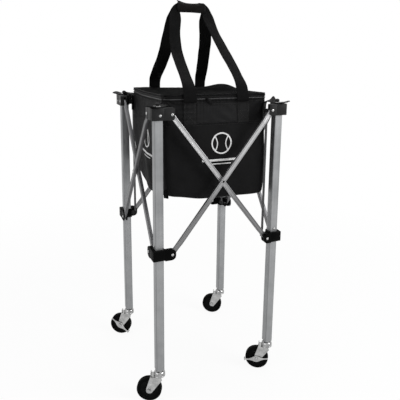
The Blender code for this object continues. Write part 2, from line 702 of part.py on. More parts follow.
def strap_path():
    """Middle line of the front handle's strap, from its left band over the grip to its right band."""
    front = -(BAG_HALF + BAG_BULGE + STRAP_THICKNESS / 2 + SEAT_GAP)
    near = -(STRAP_THICKNESS / 2 + SEAT_GAP)
    band = BAG_TOP - STRAP_BAND_DROP
    left = GRIP_LEFT - STRAP_BEND
    right = GRIP_RIGHT + STRAP_BEND
    low = GRIP_HEIGHT - STRAP_BEND
    rise = low - BAG_TOP
    over_lid = BAG_TOP + 2 * LID_RIM + STRAP_THICKNESS
    guides = [(STRAP_LEFT, front, band), (STRAP_LEFT, front, BAG_TOP),
              (STRAP_LEFT, front * 0.98, over_lid), (STRAP_LEFT, front * 0.78, BAG_TOP + rise * 0.27),
              (STRAP_LEFT, front * 0.46, BAG_TOP + rise * 0.45),
              (STRAP_LEFT, front * 0.23, BAG_TOP + rise * 0.66), (left, front * 0.08, BAG_TOP + rise * 0.88)]
    for step in range(4):
        angle = math.radians(180 - 30 * step)
        guides.append((GRIP_LEFT + STRAP_BEND * math.cos(angle), near, low + STRAP_BEND * math.sin(angle)))
    for step in range(4):
        angle = math.radians(90 - 30 * step)
        guides.append((GRIP_RIGHT + STRAP_BEND * math.cos(angle), near, low + STRAP_BEND * math.sin(angle)))
    reach = STRAP_RIGHT - right
    guides += [(right, front * 0.11, BAG_TOP + rise * 0.88),
               (right + reach * 0.2, front * 0.33, BAG_TOP + rise * 0.66),
               (right + reach * 0.6, front * 0.60, BAG_TOP + rise * 0.45),
               (right + reach * 0.9, front * 0.84, BAG_TOP + rise * 0.27),
               (STRAP_RIGHT, front * 0.98, over_lid),
               (STRAP_RIGHT, front, BAG_TOP), (STRAP_RIGHT, front, band)]
    return [Vector(guide) for guide in guides]


def strap_mesh():
    """Webbing strap: a ribbon along its path, wide at the bands and narrower at the top."""
    path = strap_path()
    mesh = bpy.data.meshes.new("ribbon")
    shape = bmesh.new()
    rows = []
    top = GRIP_HEIGHT - BAG_TOP
    for i, here in enumerate(path):
        ahead = (path[min(i + 1, len(path) - 1)] - path[max(i - 1, 0)]).normalized()
        across = ahead.cross(Vector((0, -1, 0))).normalized()
        share = min(1.0, max(0.0, (GRIP_HEIGHT - STRAP_BEND - here.z) / (top * 0.25)))
        width = STRAP_TOP_WIDTH + (STRAP_FOOT_WIDTH - STRAP_TOP_WIDTH) * share
        rows.append([shape.verts.new(here + across * width * side) for side in (-0.5, 0.5)])
    for (a, b), (c, d) in zip(rows, rows[1:]):
        shape.faces.new((a, b, d, c))
    shape.to_mesh(mesh)
    shape.free()
    made = work_object("ribbon", mesh)
    solid = made.modifiers.new("wall", "SOLIDIFY")
    solid.thickness = STRAP_THICKNESS
    solid.offset = 0.0
    return finished(baked(made))


def grip_mesh():
    """Wrap around both straps at the top: a flat sleeve, open at its ends."""
    edge = 0.006
    outer = rounded([(-GRIP_HALF_DEPTH, -GRIP_HALF_HEIGHT, edge), (GRIP_HALF_DEPTH, -GRIP_HALF_HEIGHT, edge),
                     (GRIP_HALF_DEPTH, GRIP_HALF_HEIGHT, edge), (-GRIP_HALF_DEPTH, GRIP_HALF_HEIGHT, edge)])
    length = GRIP_RIGHT - GRIP_LEFT
    sleeve = plate(outer, length, 0.002)
    depth = STRAP_THICKNESS + 2 * SEAT_GAP
    height = STRAP_TOP_WIDTH / 2 + SEAT_GAP
    hollow = box((-depth, -height, -length), (depth, height, length))
    sleeve = combine(sleeve, (hollow,), "DIFFERENCE")
    lie_along_x = Matrix(((0, 0, 1, 0), (1, 0, 0, 0), (0, 1, 0, 0), (0, 0, 0, 1)))
    middle = shift((GRIP_LEFT + GRIP_RIGHT) / 2, 0, GRIP_HEIGHT)
    return finished(moved(sleeve, middle @ lie_along_x))


def zip_mesh():
    """Zip slider with its pull, hanging in front of the bag's top edge."""
    wide, deep, tall = ZIP_BODY
    pull_wide, pull_deep, pull_tall = ZIP_PULL
    body = box((-wide / 2, -deep, -tall / 2), (wide / 2, 0, tall / 2), 0.001, 1)
    pull = box((-pull_wide / 2, -deep - pull_deep / 2, -pull_tall), (pull_wide / 2, -deep + pull_deep / 2, 0.001),
               0.001, 1)
    return finished(combine(body, (pull,), "UNION"))


def looks():
    """Materials of the sub-parts."""
    return {
        "aluminium": material("aluminium", (0.56, 0.57, 0.58), 0.32, 1.0),
        "bar": material("bar_aluminium", (0.70, 0.71, 0.72), 0.28, 1.0),
        "joint": material("black_nylon", (0.018, 0.018, 0.019), 0.45),
        "steel": material("zinc_steel", (0.62, 0.62, 0.62), 0.25, 1.0),
        "tyre": material("black_rubber", (0.012, 0.012, 0.013), 0.6),
        "fabric": material("black_fabric", (0.015, 0.015, 0.016), 0.85),
        "webbing": material("black_webbing", (0.014, 0.014, 0.015), 0.8),
    }


def build_corners(cart, look, legs):
    """Legs with their brackets, swivel caps, snap buttons and sliders."""
    leg = leg_mesh()
    bracket = bracket_mesh()
    cap = cap_mesh()
    button = button_mesh()
    slider = slider_mesh()
    rivet = finished(pin(JOINT_OUTER, HALF_LEG - LEG_WALL))
    for index, corner in enumerate(CORNERS):
        frame = corner_frame(index)
        body = legs[index]
        piece("leg_" + corner, leg, frame, body, look["aluminium"])
        piece("corner_bracket_" + corner, bracket, frame @ shift(0, 0, TOP_PIVOT_HEIGHT), body, look["joint"])
        rivet_place = frame @ shift(LEG_RIVET_OFFSET, 0, TOP_PIVOT_HEIGHT - LEG_RIVET_DROP)
        piece("leg_rivet_" + corner, rivet, rivet_place, body, look["steel"])
        piece("swivel_cap_" + corner, cap, frame, body, look["steel"])
        button_axis = empty("axis_snap_button_" + corner, frame @ shift(0, 0, BUTTON_HEIGHT), body)
        piece("snap_button_" + corner, button, frame @ shift(0, 0, BUTTON_HEIGHT), button_axis, look["steel"])
        pivot = slider_pivot(index)
        axis = empty("axis_slider_" + corner, pivot, cart)
        piece("slider_" + corner, slider, frame @ shift(0, 0, SLIDER_PIVOT_HEIGHT), axis, look["joint"])


def slider_pivot(index):
    """Axis of the pivot that carries a slider in the model's tree of joints."""
    left = -LEG_SPACING / 2 + LEFT_PIVOT_OFFSET
    right = LEG_SPACING / 2 - RIGHT_PIVOT_OFFSET
    if CORNERS[index] == "front_left":
        return side_frame(0) @ shift(left, -LEG_SPACING / 2, SLIDER_PIVOT_HEIGHT)
    if CORNERS[index] == "rear_left":
        return side_frame(3) @ shift(left, -LEG_SPACING / 2, SLIDER_PIVOT_HEIGHT)
    return side_frame(index - 1) @ shift(right, -LEG_SPACING / 2, SLIDER_PIVOT_HEIGHT)


def build_scissors(cart, look):
    """The two bars of each side, on empties at their top pivots, and the pin where they cross."""
    inner_bar = bar_mesh(False)
    outer_bar = bar_mesh(True)
    crossing_pin = finished(pin(OUTER_BAR_FRONT, INNER_BAR_BACK))
    left = -LEG_SPACING / 2 + LEFT_PIVOT_OFFSET
    right = LEG_SPACING / 2 - RIGHT_PIVOT_OFFSET
    for index, side in enumerate(SIDES):
        plane = side_frame(index) @ shift(0, -LEG_SPACING / 2, 0)
        down_right = Matrix.Rotation(BAR_ANGLE, 4, "Y")
        down_left = Matrix.Rotation(math.pi - BAR_ANGLE, 4, "Y")
        inner_pivot = plane @ shift(left, 0, TOP_PIVOT_HEIGHT)
        outer_pivot = plane @ shift(right, 0, TOP_PIVOT_HEIGHT)
        inner_axis = empty("axis_bar_inner_" + side, inner_pivot, cart)
        outer_axis = empty("axis_bar_outer_" + side, outer_pivot, cart)
        middle = plane @ shift((left + right) / 2, 0, (TOP_PIVOT_HEIGHT + SLIDER_PIVOT_HEIGHT) / 2)
        crossing = empty("axis_crossing_" + side, middle, outer_axis)
        piece("bar_inner_" + side, inner_bar, inner_pivot @ down_right, inner_axis, look["bar"])
        piece("bar_outer_" + side, outer_bar, outer_pivot @ down_left, outer_axis, look["bar"])
        piece("crossing_pin_" + side, crossing_pin, middle, crossing, look["steel"])


def build_casters(look, legs):
    """Forks, wheels, axles and the two brake levers."""
    fork = fork_mesh()
    wheel = wheel_mesh()
    plain_axle = axle_mesh(False)
    braked_axle = axle_mesh(True)
    brake = brake_mesh()
    for index, corner in enumerate(CORNERS):
        on_leg = corner_frame(index)
        upright = Matrix.Translation(on_leg.translation) @ turn_z(CASTER_YAW[index])
        swivel = empty("axis_swivel_" + corner, upright, legs[index])
        piece("fork_" + corner, fork, upright, swivel, look["steel"])
        hub = upright @ shift(CASTER_TRAIL, 0, WHEEL_RADIUS)
        spin = empty("axis_wheel_" + corner, hub, swivel)
        piece("wheel_" + corner, wheel, hub, spin, look["tyre"])
        braked = corner in BRAKED
        piece("axle_" + corner, braked_axle if braked else plain_axle, hub, swivel, look["steel"])
        if braked:
            tilt = hub @ Matrix.Rotation(math.radians(BRAKED[corner]), 4, "Y")
            rock = empty("axis_brake_" + corner, tilt, swivel)
            piece("brake_lever_" + corner, brake, tilt, rock, look["steel"])


def build_bag(cart, look):
    """Bag shell, lid, corner tabs, zip slider, two handles and the grip wrap."""
    still = Matrix.Identity(4)
    bag = empty("axis_bag", still, cart)
    piece("bag_shell", bag_mesh(), still, bag, look["fabric"])
    tab = tab_mesh()
    over_bracket = LEG_TOP + SEAT_GAP + BRACKET_CAP + SEAT_GAP + EYELET_COLLAR + TAB_THICKNESS / 2
    for index, corner in enumerate(CORNERS):
        diagonal = corner_frame(index) @ shift(0, 0, over_bracket) @ turn_z(45.0)
        piece("corner_tab_" + corner, tab, diagonal, bag, look["webbing"])
    hinge = empty("axis_lid", lid_hinge(), bag)
    piece("bag_lid", lid_mesh(), lid_hinge(), hinge, look["fabric"])
    front = -(BAG_HALF + SEAT_GAP)
    zip_place = shift(ZIP_X, front, BAG_TOP)
    zip_axis = empty("axis_zip", zip_place, bag)
    piece("zip_slider", zip_mesh(), zip_place, zip_axis, look["steel"])
    strap = strap_mesh()
    foot = shift(0, front, BAG_TOP)
    front_axis = empty("axis_handle_front", foot, bag)
    piece("handle_front", strap, still, front_axis, look["webbing"])
    piece("grip_wrap", grip_mesh(), still, front_axis, look["webbing"])
    turned_round = turn_z(180.0)
    rear_axis = empty("axis_handle_rear", shift(0, -front, BAG_TOP), bag)
    rear = strap.copy()
    rear.transform(Matrix.Scale(-1, 4, Vector((1, 0, 0))))
    rear.flip_normals()
    piece("handle_rear", rear, turned_round, rear_axis, look["webbing"])


def centre_on_floor(cart):
    """Shift the whole cart so that the middle of its bounding box is over the origin."""
    bpy.context.view_layer.update()
    points = [made.matrix_world @ vertex.co for made in COLLECTION.objects if made.type == "MESH"
              for vertex in made.data.vertices]
    low = [min(point[axis] for point in points) for axis in range(3)]
    high = [max(point[axis] for point in points) for axis in range(3)]
    cart.location = (-(low[0] + high[0]) / 2, -(low[1] + high[1]) / 2, -low[2])
    bpy.context.view_layer.update()


def build():
    """Build the whole cart."""
    clear_scene()
    look = looks()
    cart = empty("cart", Matrix.Identity(4))
    legs = [empty("leg_frame_" + corner, corner_frame(index), cart) for index, corner in enumerate(CORNERS)]
    build_corners(cart, look, legs)
    build_scissors(cart, look)
    build_casters(look, legs)
    build_bag(cart, look)
    centre_on_floor(cart)


build()
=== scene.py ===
"""Dressed model of a folding ball cart: square aluminium legs on casters, crossing scissor bars and a hanging bag."""
import math
import bmesh
import bpy
import numpy as np
from mathutils import Matrix, Vector


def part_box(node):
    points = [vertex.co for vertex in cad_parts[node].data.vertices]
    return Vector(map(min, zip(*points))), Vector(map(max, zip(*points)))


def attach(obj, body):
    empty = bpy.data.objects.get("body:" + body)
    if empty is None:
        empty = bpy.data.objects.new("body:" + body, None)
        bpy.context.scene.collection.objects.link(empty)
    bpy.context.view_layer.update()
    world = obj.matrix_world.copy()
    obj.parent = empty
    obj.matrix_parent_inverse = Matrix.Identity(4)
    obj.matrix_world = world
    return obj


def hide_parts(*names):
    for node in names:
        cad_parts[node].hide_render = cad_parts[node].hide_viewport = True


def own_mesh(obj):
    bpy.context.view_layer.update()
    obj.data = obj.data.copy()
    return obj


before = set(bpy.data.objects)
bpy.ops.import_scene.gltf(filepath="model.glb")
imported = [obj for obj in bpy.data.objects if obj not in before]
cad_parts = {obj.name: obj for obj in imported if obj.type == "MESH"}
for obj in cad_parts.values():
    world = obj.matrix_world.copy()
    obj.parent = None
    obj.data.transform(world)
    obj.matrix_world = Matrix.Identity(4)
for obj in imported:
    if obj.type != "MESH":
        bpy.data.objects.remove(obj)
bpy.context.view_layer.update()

CORNERS = ("front_left", "front_right", "rear_right", "rear_left")
SIDES = ("front", "right", "rear", "left")
UP = np.array([0.0, 0.0, 1.0])


def box_of(name):
    """Lowest and highest point of a CAD node, as two arrays."""
    low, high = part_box(name)
    return np.array(low, float), np.array(high, float)


def middle_of(name):
    """Middle of a CAD node's box."""
    low, high = box_of(name)
    return (low + high) / 2


LEG_CENTRES = {corner: middle_of("leg_" + corner) for corner in CORNERS}
CENTRE = sum(LEG_CENTRES.values()) / 4
CENTRE[2] = 0.0


def placed(name, data):
    """New object in the scene."""
    made = bpy.data.objects.new(name, data)
    bpy.context.scene.collection.objects.link(made)
    return made


def set_camera():
    """Camera turned 24.46 degrees to the left of the cart, tipped 11.89 down and rolled by 1.0."""
    turn, tip, roll = (math.radians(angle) for angle in (-24.4563, 11.8883, 1.0002))
    back = Vector((math.sin(turn) * math.cos(tip), -math.cos(turn) * math.cos(tip), math.sin(tip)))
    right = Vector((math.cos(turn), math.sin(turn), 0.0))
    up = back.cross(right)
    level_right = right * math.cos(roll) + up * math.sin(roll)
    level_up = up * math.cos(roll) - right * math.sin(roll)
    place = Matrix((level_right, level_up, back)).transposed().to_4x4()
    place.translation = Vector(CENTRE) + Vector((-0.5692, -1.408, 1.0724))
    lens = bpy.data.cameras.new("camera")
    lens.sensor_width = 36.0
    lens.sensor_fit = "HORIZONTAL"
    lens.lens = 41.916
    lens.shift_x = -0.0376
    lens.shift_y = -0.12975
    lens.clip_start = 0.05
    lens.clip_end = 60.0
    camera = placed("camera", lens)
    camera.matrix_world = place
    bpy.context.scene.camera = camera


# ---- shader helpers: a value is a number, a colour, or the output of another node as (node, output) ----

def give(tree, node, title, value):
    """Give one input of a node its value."""
    socket = node.inputs[title]
    if isinstance(value, tuple) and isinstance(value[0], bpy.types.Node):
        tree.links.new(value[0].outputs[value[1]], socket)
    else:
        socket.default_value = (*value, 1.0) if socket.type == "RGBA" else value


def new_node(tree, kind, **values):
    """New shader node with values on its inputs, whose names have underscores for spaces."""
    node = tree.nodes.new("ShaderNode" + kind)
    for title, value in values.items():
        give(tree, node, title.replace("_", " "), value)
    return node


def math_node(tree, kind, *values, clamp=False):
    """Math on one or two values."""
    node = new_node(tree, "Math")
    node.operation = kind
    node.use_clamp = clamp
    for index, value in enumerate(values):
        give(tree, node, index, value)
    return (node, 0)


def weighted(tree, value, share, *rest):
    """Sum of values, each times the share that follows it."""
    part = math_node(tree, "MULTIPLY", value, share)
    return math_node(tree, "ADD", part, weighted(tree, *rest)) if rest else part


def ranged(tree, value, low, high, new_low=0.0, new_high=1.0):
    """Value carried from one range to another, held at its ends."""
    node = new_node(tree, "MapRange", Value=value, From_Min=low, From_Max=high, To_Min=new_low, To_Max=new_high)
    return (node, "Result")


def mixed(tree, share, first, second):
    """Colour mixed from the first to the second by a share."""
    node = new_node(tree, "Mix")
    node.data_type = "RGBA"
    for index, value in ((0, share), (6, first), (7, second)):
        give(tree, node, index, value)
    return (node, 2)


def noise(tree, vector, scale, detail=2.0, rough=0.5):
    """Noise texture on a vector."""
    return (new_node(tree, "TexNoise", Vector=vector, Scale=scale, Detail=detail, Roughness=rough), 0)


def stretched(tree, vector, scale):
    """Vector multiplied by a fixed triple."""
    node = new_node(tree, "VectorMath")
    node.operation = "MULTIPLY"
    give(tree, node, 0, vector)
    give(tree, node, 1, scale)
    return (node, 0)


def shader_group(name, outputs, **numbers):
    """New shader node group of a Vector, number inputs with their defaults, and number outputs. Returns it with its
    input node and its output node."""
    group = bpy.data.node_groups.new(name, "ShaderNodeTree")
    group.interface.new_socket("Vector", in_out="INPUT", socket_type="NodeSocketVector")
    for title, number in numbers.items():
        group.interface.new_socket(title, in_out="INPUT", socket_type="NodeSocketFloat").default_value = number
    for title in outputs:
        group.interface.new_socket(title, in_out="OUTPUT", socket_type="NodeSocketFloat")
    return group, group.nodes.new("NodeGroupInput"), group.nodes.new("NodeGroupOutput")


def drawn_metal_group():
    """Lengthwise die lines of an extrusion: fine noise stretched 250 times along X, with broad soft bands."""
    group, given, made = shader_group("drawn_lines", ("Lines", "Height"), Fineness=900.0, Depth=0.5)
    vector = (given, "Vector")
    thin = noise(group, stretched(group, vector, (0.004, 1.0, 1.0)), (given, "Fineness"), 3.0, 0.6)
    broad = noise(group, stretched(group, vector, (0.02, 1.0, 1.0)), 110.0)
    lines = weighted(group, thin, 0.55, broad, 0.45)
    give(group, made, "Lines", lines)
    give(group, made, "Height", math_node(group, "MULTIPLY", lines, (given, "Depth")))
    return group


def weave_group():
    """Plain weave: crossed rounded threads, over and under in turn, from a pair of coordinates in metres. A thread's
    crown falls off by the square of the distance from its middle, and the parity of the cell picks the upper one."""
    group, given, made = shader_group("plain_weave", ("Thread", "Tone"), Pitch=0.0009, Wander=0.12)
    vector = (given, "Vector")
    split = new_node(group, "SeparateXYZ", Vector=vector)
    wander = math_node(group, "MULTIPLY", noise(group, vector, 160.0), (given, "Wander"))
    cells, crowns = [], []
    for axis in (0, 1):
        turns = math_node(group, "ADD", math_node(group, "DIVIDE", (split, axis), (given, "Pitch")), wander)
        cells.append(math_node(group, "FLOOR", turns))
        inside = math_node(group, "SUBTRACT", math_node(group, "FRACT", turns), 0.5)
        square = math_node(group, "MULTIPLY", inside, inside)
        crowns.append(math_node(group, "SUBTRACT", 1.0, math_node(group, "MULTIPLY", square, 3.4)))
    over = new_node(group, "Mix")
    give(group, over, 0, math_node(group, "PINGPONG", math_node(group, "ADD", *cells), 1.0))
    for index, (upper, lower) in enumerate((crowns, crowns[::-1])):
        sunk = math_node(group, "ADD", math_node(group, "MULTIPLY", lower, 0.6), 0.4)
        give(group, over, 2 + index, math_node(group, "MULTIPLY", upper, sunk))
    give(group, made, "Thread", (over, 0))
    give(group, made, "Tone", noise(group, vector, 55.0, 3.0, 0.6))
    return group


def marks_group():
    """Handling marks: a broad cloud, as a mask from 0 to 1."""
    group, given, made = shader_group("handling_marks", ("Cloud",), Scale=9.0)
    cloud = noise(group, (given, "Vector"), (given, "Scale"), 4.0, 0.6)
    give(group, made, "Cloud", ranged(group, cloud, 0.3, 0.7))
    return group


DRAWN, WEAVE, MARKS = drawn_metal_group(), weave_group(), marks_group()


class Finish:
    """A material under way: its tree, and its coordinates, which are the object's own or its cloth coordinates."""

    def __init__(self, name, cloth=False):
        """New material and the coordinates its textures use."""
        self.material = bpy.data.materials.new(name)
        self.material.use_nodes = True
        self.tree = self.material.node_tree
        if cloth:
            node = new_node(self.tree, "UVMap")
            node.uv_map = "cloth"
            self.place = (node, 0)
        else:
            self.place = (new_node(self.tree, "TexCoord"), "Object")

    def group(self, group, **values):
        """Place a shader group and set its inputs."""
        node = new_node(self.tree, "Group")
        node.node_tree = group
        for title, value in dict(values, Vector=self.place).items():
            give(self.tree, node, title, value)
        return node

    def done(self, colour, rough, height, strength, distance, **numbers):
        """Feed the shader its colour, its roughness and a bump by a height, and set its plain numbers."""
        bump = new_node(self.tree, "Bump", Height=height, Strength=strength, Distance=distance)
        fed = dict(numbers, Base_Color=colour, Roughness=rough, Normal=(bump, 0))
        for title, value in fed.items():
            give(self.tree, self.tree.nodes["Principled BSDF"], title.replace("_", " "), value)
        return self.material


def moulded_nylon(name, dark, light, specular=0.16):
    """Black glass-filled nylon: a fine spark-eroded grain and slightly dusty flats."""
    look = Finish(name)
    marks = look.group(MARKS, Scale=24.0)
    fine = noise(look.tree, look.place, 1600.0, 2.0, 0.6)
    return look.done(mixed(look.tree, (marks, "Cloud"), dark, light), ranged(look.tree, fine, 0.3, 0.7, 0.42, 0.58),
                     fine, 0.25, 0.0003, Specular_IOR_Level=specular)


def plated_steel(name, dark, light, rough):
    """Bright zinc plate: a faint spangle and soft wiping marks."""
    look = Finish(name)
    cloud = (look.group(MARKS, Scale=60.0), "Cloud")
    spangle = new_node(look.tree, "TexVoronoi", Vector=look.place, Scale=380.0)
    shade = weighted(look.tree, cloud, 0.65, (spangle, "Distance"), 0.35)
    return look.done(mixed(look.tree, shade, dark, light), ranged(look.tree, shade, 0.1, 0.8, *rough),
                     cloud, 0.08, 0.0004, Metallic=1.0)


def tyre_rubber():
    """Black solid tyre: matt, with scuffed patches."""
    look = Finish("tyre_rubber")
    cloud = (look.group(MARKS, Scale=55.0), "Cloud")
    colour = mixed(look.tree, cloud, (0.0008, 0.0008, 0.0008), (0.0030, 0.0030, 0.0029))
    return look.done(colour, ranged(look.tree, cloud, 0.0, 1.0, 0.48, 0.68),
                     noise(look.tree, look.place, 1100.0, 3.0, 0.6), 0.3, 0.0003, Specular_IOR_Level=0.03)


def groove_aluminium(name, dark, light, deep, rough, lower_shade=None):
    """Drawn aluminium whose die lines run along the first cloth coordinate, darker where its hollow attribute is high:
    painted shade in its grooves and painted dark reflection at its edges and narrow sides. With a share as its last
    argument, its colour falls to that share from 0.22 to 0.34 m along: painted shade over the lower part of a bar."""
    look = Finish(name, cloth=True)
    tree = look.tree
    lines = look.group(DRAWN)
    shade = weighted(tree, (lines, "Lines"), 0.7, (look.group(MARKS, Scale=12.0), "Cloud"), 0.3)
    plain = mixed(tree, ranged(tree, shade, 0.3, 0.7), dark, light)
    # Painted shade: the colour falls towards the bar's lower end, from 0.22 to 0.34 m past its top pivot.
    if lower_shade is not None:
        apart = new_node(tree, "SeparateXYZ", Vector=look.place)
        plain = mixed(tree, ranged(tree, (apart, 0), 0.22, 0.34), plain, tuple(lower_shade * value for value in light))
    # Painted shade and painted dark reflection: the hollow attribute mixes the colour towards the deep colour.
    shade_attribute = new_node(tree, "Attribute")
    shade_attribute.attribute_name = "hollow"
    share = math_node(tree, "MULTIPLY", (shade_attribute, "Fac"), 0.85, clamp=True)
    polish = math_node(tree, "ADD", ranged(tree, (lines, "Lines"), 0.35, 0.65, *rough),
                       math_node(tree, "MULTIPLY", (shade_attribute, "Fac"), 0.12))
    return look.done(mixed(tree, share, plain, deep), polish, (lines, "Height"), 0.05, 0.0001, Metallic=1.0)


def woven(name, dark, light, pitch, rough, specular, sheen, depth=0.6):
    """Woven black synthetic: threads over and under, uneven in tone, with a slight sheen and wiped patches."""
    look = Finish(name, cloth=True)
    weave = look.group(WEAVE, Pitch=pitch)
    tone = weighted(look.tree, (weave, "Thread"), 0.45, (weave, "Tone"), 0.3,
                    (look.group(MARKS, Scale=16.0), "Cloud"), 0.25)
    return look.done(mixed(look.tree, ranged(look.tree, tone, 0.15, 0.85), dark, light),
                     ranged(look.tree, tone, 0.2, 0.8, rough + 0.08, rough - 0.06), (weave, "Thread"), depth,
                     pitch * 0.35, Specular_IOR_Level=specular, Sheen_Weight=sheen, Sheen_Roughness=0.45)


def ribbed_webbing(name, dark, light, specular=0.1, sheen=0.02):
    """Strap webbing: lengthwise ribs 1.6 mm apart, crossed by fine picks 1.1 mm apart that waver with them."""
    look = Finish(name, cloth=True)
    tree = look.tree
    split = new_node(tree, "SeparateXYZ", Vector=look.place)
    rib_pitch, pick_pitch = 0.0016, 0.0011
    ribs = math_node(tree, "SINE", math_node(tree, "MULTIPLY", (split, 0), 2 * math.pi / rib_pitch))
    picks = math_node(tree, "SINE", weighted(tree, (split, 1), 2 * math.pi / pick_pitch, ribs, 1.4))
    weave = weighted(tree, ribs, 0.6, picks, 0.4)
    tone = weighted(tree, ranged(tree, weave, -1.0, 1.0), 0.6, (look.group(MARKS, Scale=22.0), "Cloud"), 0.4)
    return look.done(mixed(tree, tone, dark, light), ranged(tree, tone, 0.2, 0.8, 0.68, 0.52), weave, 0.5, 0.0004,
                     Specular_IOR_Level=specular, Sheen_Weight=sheen, Sheen_Roughness=0.4)


# The third colour of each aluminium is painted shade and painted dark reflection, laid on by the hollow attribute. The
# front and rear bars' aluminium is a lighter copy and the left and right bars' a darker copy of one metal: painted
# light and painted shade. The last number of each bar copy is the share its colour falls to along the bar's lower part:
# painted shade.
LEG_FINISH = groove_aluminium("leg_aluminium", (0.245, 0.25, 0.255), (0.375, 0.38, 0.385), (0.075, 0.075, 0.08),
                              (0.40, 0.52))
LIT_FACE_BAR = groove_aluminium("face_bar_aluminium_painted_light", (0.40, 0.40, 0.405), (0.62, 0.62, 0.625), (0.065, 0.065, 0.07),
                            (0.30, 0.40), 0.38)
SHADED_FLANK_BAR = groove_aluminium("flank_bar_aluminium_painted_shade", (0.13, 0.13, 0.133), (0.22, 0.22, 0.223), (0.055, 0.055, 0.06),
                             (0.34, 0.46), 0.85)
NYLON = moulded_nylon("moulded_nylon", (0.0070, 0.0070, 0.0073), (0.0150, 0.0150, 0.0155))
SLIDER_NYLON = moulded_nylon("slider_nylon", (0.0008, 0.0008, 0.0008), (0.0022, 0.0022, 0.0023), 0.035)
CORE = moulded_nylon("wheel_core_nylon", (0.0010, 0.0010, 0.0010), (0.0030, 0.0030, 0.0031), 0.05)
RUBBER = tyre_rubber()
ZINC = plated_steel("zinc_plate", (0.24, 0.24, 0.238), (0.56, 0.56, 0.555), (0.10, 0.26))
BRIGHT = plated_steel("bright_plate", (0.18, 0.18, 0.18), (0.46, 0.46, 0.46), (0.05, 0.14))
RIVET = plated_steel("rivet_plate", (0.28, 0.28, 0.28), (0.48, 0.48, 0.48), (0.18, 0.34))
EYELET = plated_steel("eyelet_plate", (0.14, 0.14, 0.14), (0.34, 0.34, 0.34), (0.18, 0.32))
CLOTH = woven("bag_cloth", (0.0022, 0.0022, 0.0024), (0.0075, 0.0075, 0.0078), 0.0009, 0.62, 0.07, 0.015)
POCKET = woven("pocket_cloth", (0.0030, 0.0030, 0.0032), (0.0100, 0.0100, 0.0104), 0.0007, 0.62, 0.10, 0.02)
TAPE = woven("zip_tape", (0.0018, 0.0018, 0.0019), (0.0055, 0.0055, 0.0057), 0.0006, 0.62, 0.06, 0.005)
COIL = woven("zip_coil_nylon", (0.012, 0.012, 0.0125), (0.034, 0.034, 0.035), 0.0005, 0.36, 0.45, 0.0)
PIPING = woven("bound_edge", (0.0020, 0.0020, 0.0021), (0.0070, 0.0070, 0.0073), 0.0006, 0.55, 0.10, 0.01)
THREAD = woven("sewing_thread", (0.0050, 0.0050, 0.0052), (0.0180, 0.0180, 0.0185), 0.0003, 0.45, 0.3, 0.0)
# The lid's cloth is a darker copy of the bag's cloth, with less shine: painted shade over its upturned top.
SHADED_LID_CLOTH = woven("lid_cloth_painted_shade", (0.0009, 0.0009, 0.0010), (0.0032, 0.0032, 0.0033), 0.0009, 0.75, 0.010, 0.0)
HOOK_TAPE = woven("hook_tape", (0.0026, 0.0023, 0.0023), (0.0080, 0.0072, 0.0070), 0.0014, 0.8, 0.06, 0.05)
LIFT_CORD = woven("lift_cord_braid", (0.050, 0.050, 0.051), (0.130, 0.130, 0.132), 0.0016, 0.7, 0.25, 0.05, 0.5)
PRINT = woven("printed_ink", (0.62, 0.62, 0.62), (0.80, 0.80, 0.80), 0.0009, 0.5, 0.3, 0.0, 0.3)
WEBBING = ribbed_webbing("handle_webbing", (0.0018, 0.0018, 0.0019), (0.0095, 0.0095, 0.0098))
# The strands' webbing, also used on the floor loop, is a darker copy of the handle webbing, with less shine: painted
# shade.
SHADED_STRAP = ribbed_webbing("strap_webbing_painted_shade", (0.0007, 0.0007, 0.0008), (0.0042, 0.0042, 0.0043), 0.045, 0.006)


# ---- surfaces worked out as whole arrays ----

def spread(*parts):
    """Arrays brought to one shape and set side by side as coordinates."""
    return np.stack(np.broadcast_arrays(*parts), axis=-1)


def unit(vectors):
    """Vectors brought to length 1."""
    return vectors / np.maximum(np.linalg.norm(vectors, axis=-1, keepdims=True), 1e-12)


def run_along(points):
    """Length along a row of points, from 0 at its first."""
    return np.concatenate([[0.0], np.cumsum(np.linalg.norm(np.diff(points, axis=0), axis=-1))])


def whole_turn(count):
    """Angles of a closed turn."""
    return np.linspace(0, 2 * math.pi, count, endpoint=False)


def eased(value, low, high):
    """Smooth step from 0 to 1 between two values."""
    t = np.clip((value - low) / (high - low), 0, 1)
    return t * t * (3 - 2 * t)


def catmull(points, count):
    """Smooth curve through points, evenly spaced: a Catmull-Rom spline, cut again by its own length."""
    points = np.asarray(points, float)
    ends = np.vstack([2 * points[0] - points[1], points, 2 * points[-1] - points[-2]])
    t = np.linspace(0, len(points) - 1 - 1e-9, max(400, count * 4))
    k = t.astype(int)
    f = (t - k)[:, None]
    a, b, c, d = ends[k], ends[k + 1], ends[k + 2], ends[k + 3]
    dense = 0.5 * (2 * b + (c - a) * f + (2 * a - 5 * b + 4 * c - d) * f ** 2 + (3 * b - a - 3 * c + d) * f ** 3)
    run = run_along(dense)
    even = np.linspace(0, run[-1], count)
    return np.stack([np.interp(even, run, dense[:, axis]) for axis in range(dense.shape[1])], axis=1)


def grid_quads(rows, columns, start=0, ring=False):
    """Quads of a grid of points, row by row. A ring joins its last column to its first."""
    r, c = np.meshgrid(np.arange(rows - 1), np.arange(columns if ring else columns - 1), indexing="ij")
    n = (c + 1) % columns
    quads = np.stack([r * columns + c, r * columns + n, (r + 1) * columns + n, (r + 1) * columns + c], axis=-1)
    return quads.reshape(-1, 4) + start


def looped(rings):
    """Quads of a stack of rings whose last ring joins its first."""
    rows, columns = rings.shape[:2]
    return grid_quads(rows + 1, columns, ring=True) % (rows * columns)


def carried(rings):
    """Faces of a stack of equal closed rings, with a face over each end."""
    rows, count = rings.shape[:2]
    ends = [list(range(count))[::-1], list(range((rows - 1) * count, rows * count))]
    return grid_quads(rows, count, ring=True).tolist() + ends


